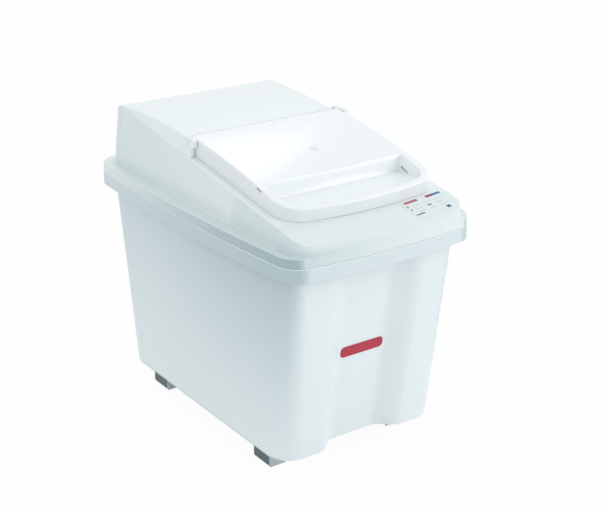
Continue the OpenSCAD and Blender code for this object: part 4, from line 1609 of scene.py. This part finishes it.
@dataclass
class Castor:
    """One swivel castor: nylon fork with cheeks, roof and hub, front guard, and grooved wheel on an axle."""

    corner: str
    x: float
    y: float
    trail: float = 10.0
    axle_z: float = 19.0
    cheek_length: float = 46.0
    cheek_low: float = 2.4
    cheek_top: float = 41.0
    cheek_corners: tuple[float, ...] = (3.7, 4.6, 13.8, 3.7)
    cheek_edge: float = 1.0
    roof_z: float = 39.2
    roof_front: float = 1.0
    roof_rear: float = 9.5
    roof_lap: float = 0.5
    roof_edges: tuple[float, ...] = (0.3, 0.6, 0.6, 0.3)
    roof_steps: int = 72
    fork_half: float = 15.5
    fork_inner: float = 11.0
    hub_radius: float = 12.0
    hub_top: float = 50.2
    hub_edges: tuple[float, ...] = (0.2, 0.4, 1.4, 0.4, 0.2, 0.2)
    stem_radius: float = 4.05
    head_radius: float = 6.8
    head_top: float = 42.0
    wheel_radius: float = 19.0
    wheel_half: float = 10.0
    wheel_hub: float = 7.86
    wheel_inner: float = 13.1
    web_half: float = 4.0
    core_radius: float = 14.5
    groove_depth: float = 0.7
    groove_places: tuple[float, ...] = (2.0, 2.4, 3.2, 3.6)
    tread_bevel: Pair = (1.4, 1.6)
    axle_radius: float = 3.0
    axle_play: float = 0.05
    axle_end: float = 0.4
    wheel_edges: Triple = (0.6, 0.5, 0.7)
    guard_low: float = 0.8
    guard_thick: float = 2.2
    guard_corner: float = 1.2
    guard_edge: float = 0.6

    def fork(self) -> Surface:
        """Fork: two round-cornered cheeks, a roof plate with a round hole, and a turned hub on top.

        Returns:
            A surface of four closed parts.
        """
        low, high = self.trail - self.cheek_length / 2, self.trail + self.cheek_length / 2
        loop = oblong((low, self.cheek_low), (high, self.cheek_top), self.cheek_corners, steps=8)
        cheeks = [slab(loop, *faces, self.cheek_edge).turned()
                  for faces in ((-self.fork_half, -self.fork_inner), (self.fork_inner, self.fork_half))]
        turn = np.linspace(0.0, 2 * np.pi, self.roof_steps, endpoint=False)
        across, along = np.cos(turn), np.sin(turn)
        end = np.where(along > 0, high - self.roof_rear, -low - self.roof_front)
        reach = np.minimum((self.fork_inner + self.roof_lap) / np.maximum(np.abs(across), TINY),
                           end / np.maximum(np.abs(along), TINY))
        ways = np.column_stack([across, along])
        edge, hole = ways * reach[:, None], ways * self.head_radius
        under, over = self.roof_z, self.cheek_top
        roof = tube([at_height(hole, under), at_height(edge, under), at_height(edge, over),
                     at_height(hole, over)], self.roof_edges, steps=3)
        head, stem = self.head_radius, self.stem_radius
        hub = lathe(rounded([
            (head, self.roof_z), (self.hub_radius, self.roof_z), (self.hub_radius, self.hub_top),
            (stem, self.hub_top), (stem, self.head_top), (head, self.head_top),
        ], self.hub_edges, steps=4), steps=48)
        return cheeks[0].joined(cheeks[1], roof, hub).moved(self.x, self.y)

    def guard(self) -> Surface:
        """Dust guard: a rounded upright plate across the front of the cheeks.

        Returns:
            A closed surface.
        """
        x, front = self.fork_half, self.trail - self.cheek_length / 2
        loop = oblong((-x, self.guard_low), (x, self.roof_z), [self.guard_corner] * 4)
        plate = slab(loop, front - self.guard_thick, front, self.guard_edge)
        return plate.turned((0, 2, 1)).moved(self.x, self.y)

    def wheel(self) -> list[Surface]:
        """Wheel centre, tread and axle as turned profiles about the axle's line.

        Returns:
            The three surfaces.
        """
        bore, rim, half = self.axle_radius + self.axle_play, self.core_radius, self.wheel_half
        hub, inner, web = self.wheel_hub, self.wheel_inner, self.web_half
        core = [(rim, half), (inner, half), (inner, web), (hub, web), (hub, half), (bore, half)]
        top, dip = self.wheel_radius, self.wheel_radius - self.groove_depth
        inset, drop = self.tread_bevel
        tread = [*zip((top, dip, dip, top), self.groove_places),
                 (top, half - drop), (top - inset, half), (rim, half)]
        tip = self.fork_half + self.axle_end
        pin = [(self.axle_radius, tip), (0.0, tip)]
        shapes = []
        for profile, edge in zip(map(two_sided, (core, tread, pin)), self.wheel_edges):
            radii = [0.0 if r in (0.0, rim, bore) else edge for r, _ in profile]
            shape = lathe(rounded(profile, radii, steps=3), steps=72).turned()
            shapes.append(shape.moved(self.x, self.y + self.trail, self.axle_z))
        return shapes

    def build(self) -> list[Piece]:
        """Build the castor's pieces in place of its solids.

        Returns:
            Fork, axle, wheel centre, tread and guard.
        """
        name = f"{self.corner}_castor"
        core, tread, pin = self.wheel()
        pieces = []
        for shape, part in ((self.fork(), "fork"), (pin, "axle"), (core, "wheel"), (tread, "tyre")):
            made = shape.piece(f"{name}_{part}_shape")
            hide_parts(f"{name}_{part}")
            pieces.append(made)
        pieces.append(self.guard().piece(f"{name}_guard"))
        ride(name, *pieces[:2], pieces[4])
        ride(f"{self.corner}_wheel", *pieces[2:4])
        return pieces

    def dress(self, pieces: list[Piece]) -> None:
        """Give each piece its finish, and the stem and socket theirs.

        Args:
            pieces: The pieces in the order in which build gives them.
        """
        for finish, piece in zip((CASTOR_NYLON, DARK_STEEL, WHEEL_CORE, TREAD, WHEEL_CORE), pieces):
            finish.dress(piece)
        STEEL.dress(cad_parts[f"{self.corner}_castor_stem"])
        CASTOR_NYLON.dress(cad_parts[f"{self.corner}_castor_socket"])


@dataclass(frozen=True)
class Bar:
    """A printed oblong: its middle and half sizes in millimetres on the plate, and its ink."""

    middle: Pair
    half: Pair
    ink: Triple


@dataclass
class Plate:
    """A thin printed plate with rounded corners: its sizes, its place, and how it is tilted and turned."""

    name: str
    slot: str
    body: str
    width: float
    height: float
    thick: float
    place: Triple
    tilt: float
    corner: float
    sheet: Triple
    gloss: float
    turn: float = 0.0
    bars: tuple[Bar, ...] = ()
    line: Triple | None = None
    lift: float = 0.05
    edge_share: float = 0.3
    line_inset: float = 1.5
    line_half: float = 0.4
    fibre: Pair = (0.93, 0.5)
    gloss_spread: float = 0.12
    bump_depth: float = 0.0003

    def build(self) -> Piece:
        """Build the plate: a slab with rounded corners, turned in its own plane, then tilted about the bin's
        width and moved to its place, with its flat coordinates kept for the print.

        Returns:
            The piece.
        """
        x, y = self.width / 2, self.height / 2
        flat = slab(oblong((-x, -y), (x, y), [self.corner] * 4, steps=6), self.lift, self.lift + self.thick,
                    self.thick * self.edge_share)
        spin, lean = math.radians(self.turn), math.radians(self.tilt)
        c, d = math.cos(spin), math.sin(spin)
        about_z = np.array([[c, -d, 0], [d, c, 0], [0, 0, 1]])
        c, d = math.cos(lean), math.sin(lean)
        about_x = np.array([[1, 0, 0], [0, c, -d], [0, d, c]])
        placed = Surface(flat.points @ (about_x @ about_z).T + np.array(self.place), flat.faces)
        made = placed.piece(f"{self.name}_print", **{PRINT: flat.points})
        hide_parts(self.name)
        ride(self.body, made)
        return made

    def outline(self, tree: Tree, flat: Socket) -> Socket:
        """Mask of the inset line: where the distance from the corners' inner oblong equals their radius less
        the line's inset, give or take half its width.

        Args:
            tree: The material's node tree.
            flat: Socket of the plate's flat coordinates.

        Returns:
            The mask's socket.
        """
        size = node(tree, "VectorMath", {0: flat}, operation="ABSOLUTE")
        past = node(tree, "VectorMath", {0: size.outputs[0]}, operation="SUBTRACT")
        straight = self.width / 2 - self.corner, self.height / 2 - self.corner
        past.inputs[1].default_value = (*straight, self.corner)
        kept = node(tree, "VectorMath", {0: past.outputs[0]}, operation="MAXIMUM")
        away = node(tree, "VectorMath", {0: kept.outputs[0]}, operation="LENGTH")
        return maths(tree, "COMPARE", away.outputs["Value"], self.corner - self.line_inset, self.line_half)

    def dress(self, piece: Piece) -> None:
        """Give the plate its print: oblong bars and an inset line laid over a faintly fibrous sheet.

        Args:
            piece: The plate's piece.
        """
        made, tree, shader = fresh_paint(f"{self.name}_ink")
        scale, strength = Grain.PAPER.value
        grain = place_group(tree, Group.GRAIN, Scale=scale)
        flat = node(tree, "Attribute", attribute_name=PRINT).outputs["Vector"]
        axes = node(tree, "SeparateXYZ", {0: flat}).outputs
        worn = tuple(self.fibre[0] * c for c in self.sheet)
        colour = mix(tree, spread(tree, grain.outputs["Height"], 0.0, self.fibre[1]), self.sheet, worn)
        for bar in self.bars:
            inside = [maths(tree, "COMPARE", axes[k], bar.middle[k], bar.half[k]) for k in range(2)]
            colour = mix(tree, maths(tree, "MULTIPLY", *inside), colour, bar.ink)
        if self.line:
            colour = mix(tree, self.outline(tree, flat), colour, self.line)
        tree.links.new(colour, shader.inputs["Base Color"])
        rough = spread(tree, grain.outputs["Mottle"], self.gloss, self.gloss + self.gloss_spread)
        tree.links.new(rough, shader.inputs["Roughness"])
        roughen(tree, grain.outputs["Height"], strength, self.bump_depth)
        cover(piece, made)


RED, DEEP_RED, ROSE, WINE = (0.52, 0.02, 0.055), (0.33, 0.02, 0.07), (0.50, 0.10, 0.16), (0.30, 0.03, 0.07)
TEAL, NAVY, DARK, GREY = (0.06, 0.20, 0.36), (0.06, 0.09, 0.22), (0.10, 0.12, 0.15), (0.42, 0.46, 0.5)
# Label sheet: the hood's tone with the apron's painted shade mixed in, so that its edge barely shows.
FILM = (0.815, 0.866, 0.874)


def front_badge(rise: float = 163.0) -> Plate:
    """The red plate in the front channel, with a thin darker line inside its edge.

    Args:
        rise: Height of its middle over the tub's lower edge.

    Returns:
        The plate.
    """
    s = SIZES
    lean = (s.rim_length / 2 - s.rim_overhang - s.base_length / 2) + s.end_bow * s.neck_bow_share
    y = -s.base_length / 2 - lean * rise / s.tub_height + s.channel_depth
    return Plate("front_badge", "badge_plate", "tub", width=84.0, height=18.5, thick=1.2,
                 place=(0.0, y, s.skirt_z + rise), tilt=90.0 + math.degrees(math.atan(lean / s.tub_height)),
                 corner=8.1, sheet=RED, gloss=0.25, line=DEEP_RED)


def date_label(side: float = 103.0) -> Plate:
    """The write-on label on the apron: coloured headings, writing lines and tick marks on pale film.

    Args:
        side: Place of its middle across the bin.

    Returns:
        The plate.
    """
    s = SIZES
    y = s.apron_y - s.apron_length / 2 + s.end_bow / 2
    bars = [Bar((-23.0, 20.0), (14.0, 2.6), ROSE), Bar((17.5, 20.0), (8.0, 2.6), WINE),
            Bar((33.5, 20.0), (8.0, 2.6), TEAL)]
    bars += [Bar((-22.0 + 23.0 * k, 9.0 - 8.0 * j), (8.0, 0.4), GREY) for k in range(3) for j in range(3)]
    bars += [Bar((-37.5, 11.0 - 9.0 * j), (1.7, 1.6), DARK) for j in range(2)]
    bars += [Bar((0.5, 0.8), (4.0, 1.4), DARK), Bar((19.0, 0.8), (3.0, 0.8), GREY),
             Bar((-31.0, -12.5), (9.0, 1.3), DARK), Bar((27.0, -16.0), (4.0, 3.0), NAVY)]
    return Plate("date_label", "label_sheet", "hood", width=84.0, height=46.0, thick=0.3,
                 place=(side, y, float(s.apron_z(y))), tilt=math.degrees(math.atan(s.apron_slope)), turn=6.0,
                 corner=2.0, sheet=FILM, gloss=0.3, bars=tuple(bars), lift=0.0)


@dataclass(frozen=True)
class Lamp:
    """A square soft lamp: its name, its place and its side's length in metres, and its power in watts."""

    name: str
    place: Triple
    size: float
    power: float


@dataclass
class Studio:
    """Camera at the photograph's view, soft lamps, pale floor and white surroundings."""

    eye: Triple = (-1172.31, -1740.24, 1114.67)
    target: Triple = (53.72, 0.0, 268.19)
    lens: float = 79.06
    sensor: float = 36.0
    lamp_target: Triple = (0.0, 0.0, 0.25)
    lamps: tuple[Lamp, ...] = (
        Lamp("key", (2.3, -2.3, 1.6), 1.8, 27.0), Lamp("fill", (-2.9, -0.9, 0.5), 2.4, 9.0),
        Lamp("top", (0.2, 0.6, 3.2), 2.2, 9.0), Lamp("glare", (1.4, 1.95, 2.25), 0.55, 1.7))
    white: Triple = (1.0, 1.0, 1.0)
    sky: Triple = (0.93, 0.99, 1.0)
    sky_level: float = 0.74
    floor_half: float = 12000.0
    floor_tone: Triple = (0.92, 0.93, 0.94)
    floor_rough: float = 0.9
    floor_glow: float = 0.96

    def aim(self, made: Piece, place: Vector, target: Vector) -> None:
        """Put a camera or lamp at a place and point it at a target.

        Args:
            made: The camera or lamp.
            place: Where it stands, in metres.
            target: What it points at, in metres.
        """
        made.location = place
        made.rotation_mode = "QUATERNION"
        made.rotation_quaternion = (target - place).to_track_quat("-Z", "Y")

    def camera(self) -> None:
        """Place the camera."""
        data = bpy.data.cameras.new("camera")
        data.lens = self.lens
        data.sensor_width = self.sensor
        data.sensor_fit = "HORIZONTAL"
        made = linked("camera", data)
        self.aim(made, Vector(self.eye) * MM, Vector(self.target) * MM)
        bpy.context.scene.camera = made

    def light(self, lamp: Lamp) -> None:
        """Place a lamp that points at the bin's middle.

        Args:
            lamp: The lamp.
        """
        data = bpy.data.lights.new(lamp.name, "AREA")
        data.shape = "SQUARE"
        data.size = lamp.size
        data.energy = lamp.power
        self.aim(linked(lamp.name, data), Vector(lamp.place), Vector(self.lamp_target))

    def seen(self, tree: Tree) -> Socket:
        """Mask of the rays that show the background: straight from the camera, mirrored or passed through.

        Args:
            tree: Node tree that takes the mask.

        Returns:
            The mask's socket.
        """
        path = node(tree, "LightPath").outputs
        some = maths(tree, "MAXIMUM", path["Is Camera Ray"], path["Is Glossy Ray"])
        return maths(tree, "MAXIMUM", some, path["Is Transmission Ray"])

    def surroundings(self) -> None:
        """White surroundings: full white where they are seen, a plain level where they light the bin."""
        world = bpy.data.worlds.new("surroundings")
        world.use_nodes = True
        bpy.context.scene.world = world
        tree = world.node_tree
        back = tree.nodes["Background"]
        seen = self.seen(tree)
        tree.links.new(mix(tree, seen, self.sky, self.white), back.inputs["Color"])
        tree.links.new(spread(tree, seen, self.sky_level, 1.0), back.inputs["Strength"])

    def floor(self) -> None:
        """Pale floor: a plane that is mostly white by itself where it is seen, so it keeps a soft shadow."""
        edge = self.floor_half
        flat = np.array([[[-edge, -edge, 0.0], [edge, -edge, 0.0]], [[-edge, edge, 0.0], [edge, edge, 0.0]]])
        made = Surface.grid(flat).piece("floor")
        paint, tree, shader = fresh_paint("floor_paper")
        shader.inputs["Base Color"].default_value = (*self.floor_tone, 1.0)
        shader.inputs["Roughness"].default_value = self.floor_rough
        shader.inputs["Specular IOR Level"].default_value = 0.0
        glow = node(tree, "Emission").outputs[0]
        share = spread(tree, self.seen(tree), 0.0, self.floor_glow)
        blend = node(tree, "MixShader", {0: share, 1: shader.outputs[0], 2: glow})
        tree.links.new(blend.outputs[0], tree.nodes["Material Output"].inputs["Surface"])
        made.data.materials.append(paint)

    def build(self) -> None:
        """Set up the studio."""
        bpy.context.scene.view_settings.view_transform = "Standard"
        self.camera()
        self.surroundings()
        self.floor()
        for lamp in self.lamps:
            self.light(lamp)


def main() -> None:
    """Build the sub-assemblies in order, dress them and set up the studio."""
    logging.basicConfig(level=logging.INFO, format="%(name)s: %(message)s")
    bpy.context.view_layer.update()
    build_groups()
    for body, part in (("tub", Tub()), ("hood", Hood()), ("flap", Flap())):
        pieces = part.build()
        part.dress(pieces)
        ride(body, *pieces)
    for end, y in (("front", -Tub.castor_y), ("rear", Tub.castor_y)):
        for side, x in (("left", -Tub.castor_x), ("right", Tub.castor_x)):
            castor = Castor(f"{end}_{side}", x, y)
            castor.dress(castor.build())
    for plate in (front_badge(), date_label()):
        plate.dress(plate.build())
    STEEL.dress(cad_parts["left_hinge_pin"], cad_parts["right_hinge_pin"])
    Studio().build()


if __name__ == "__main__":
    main()
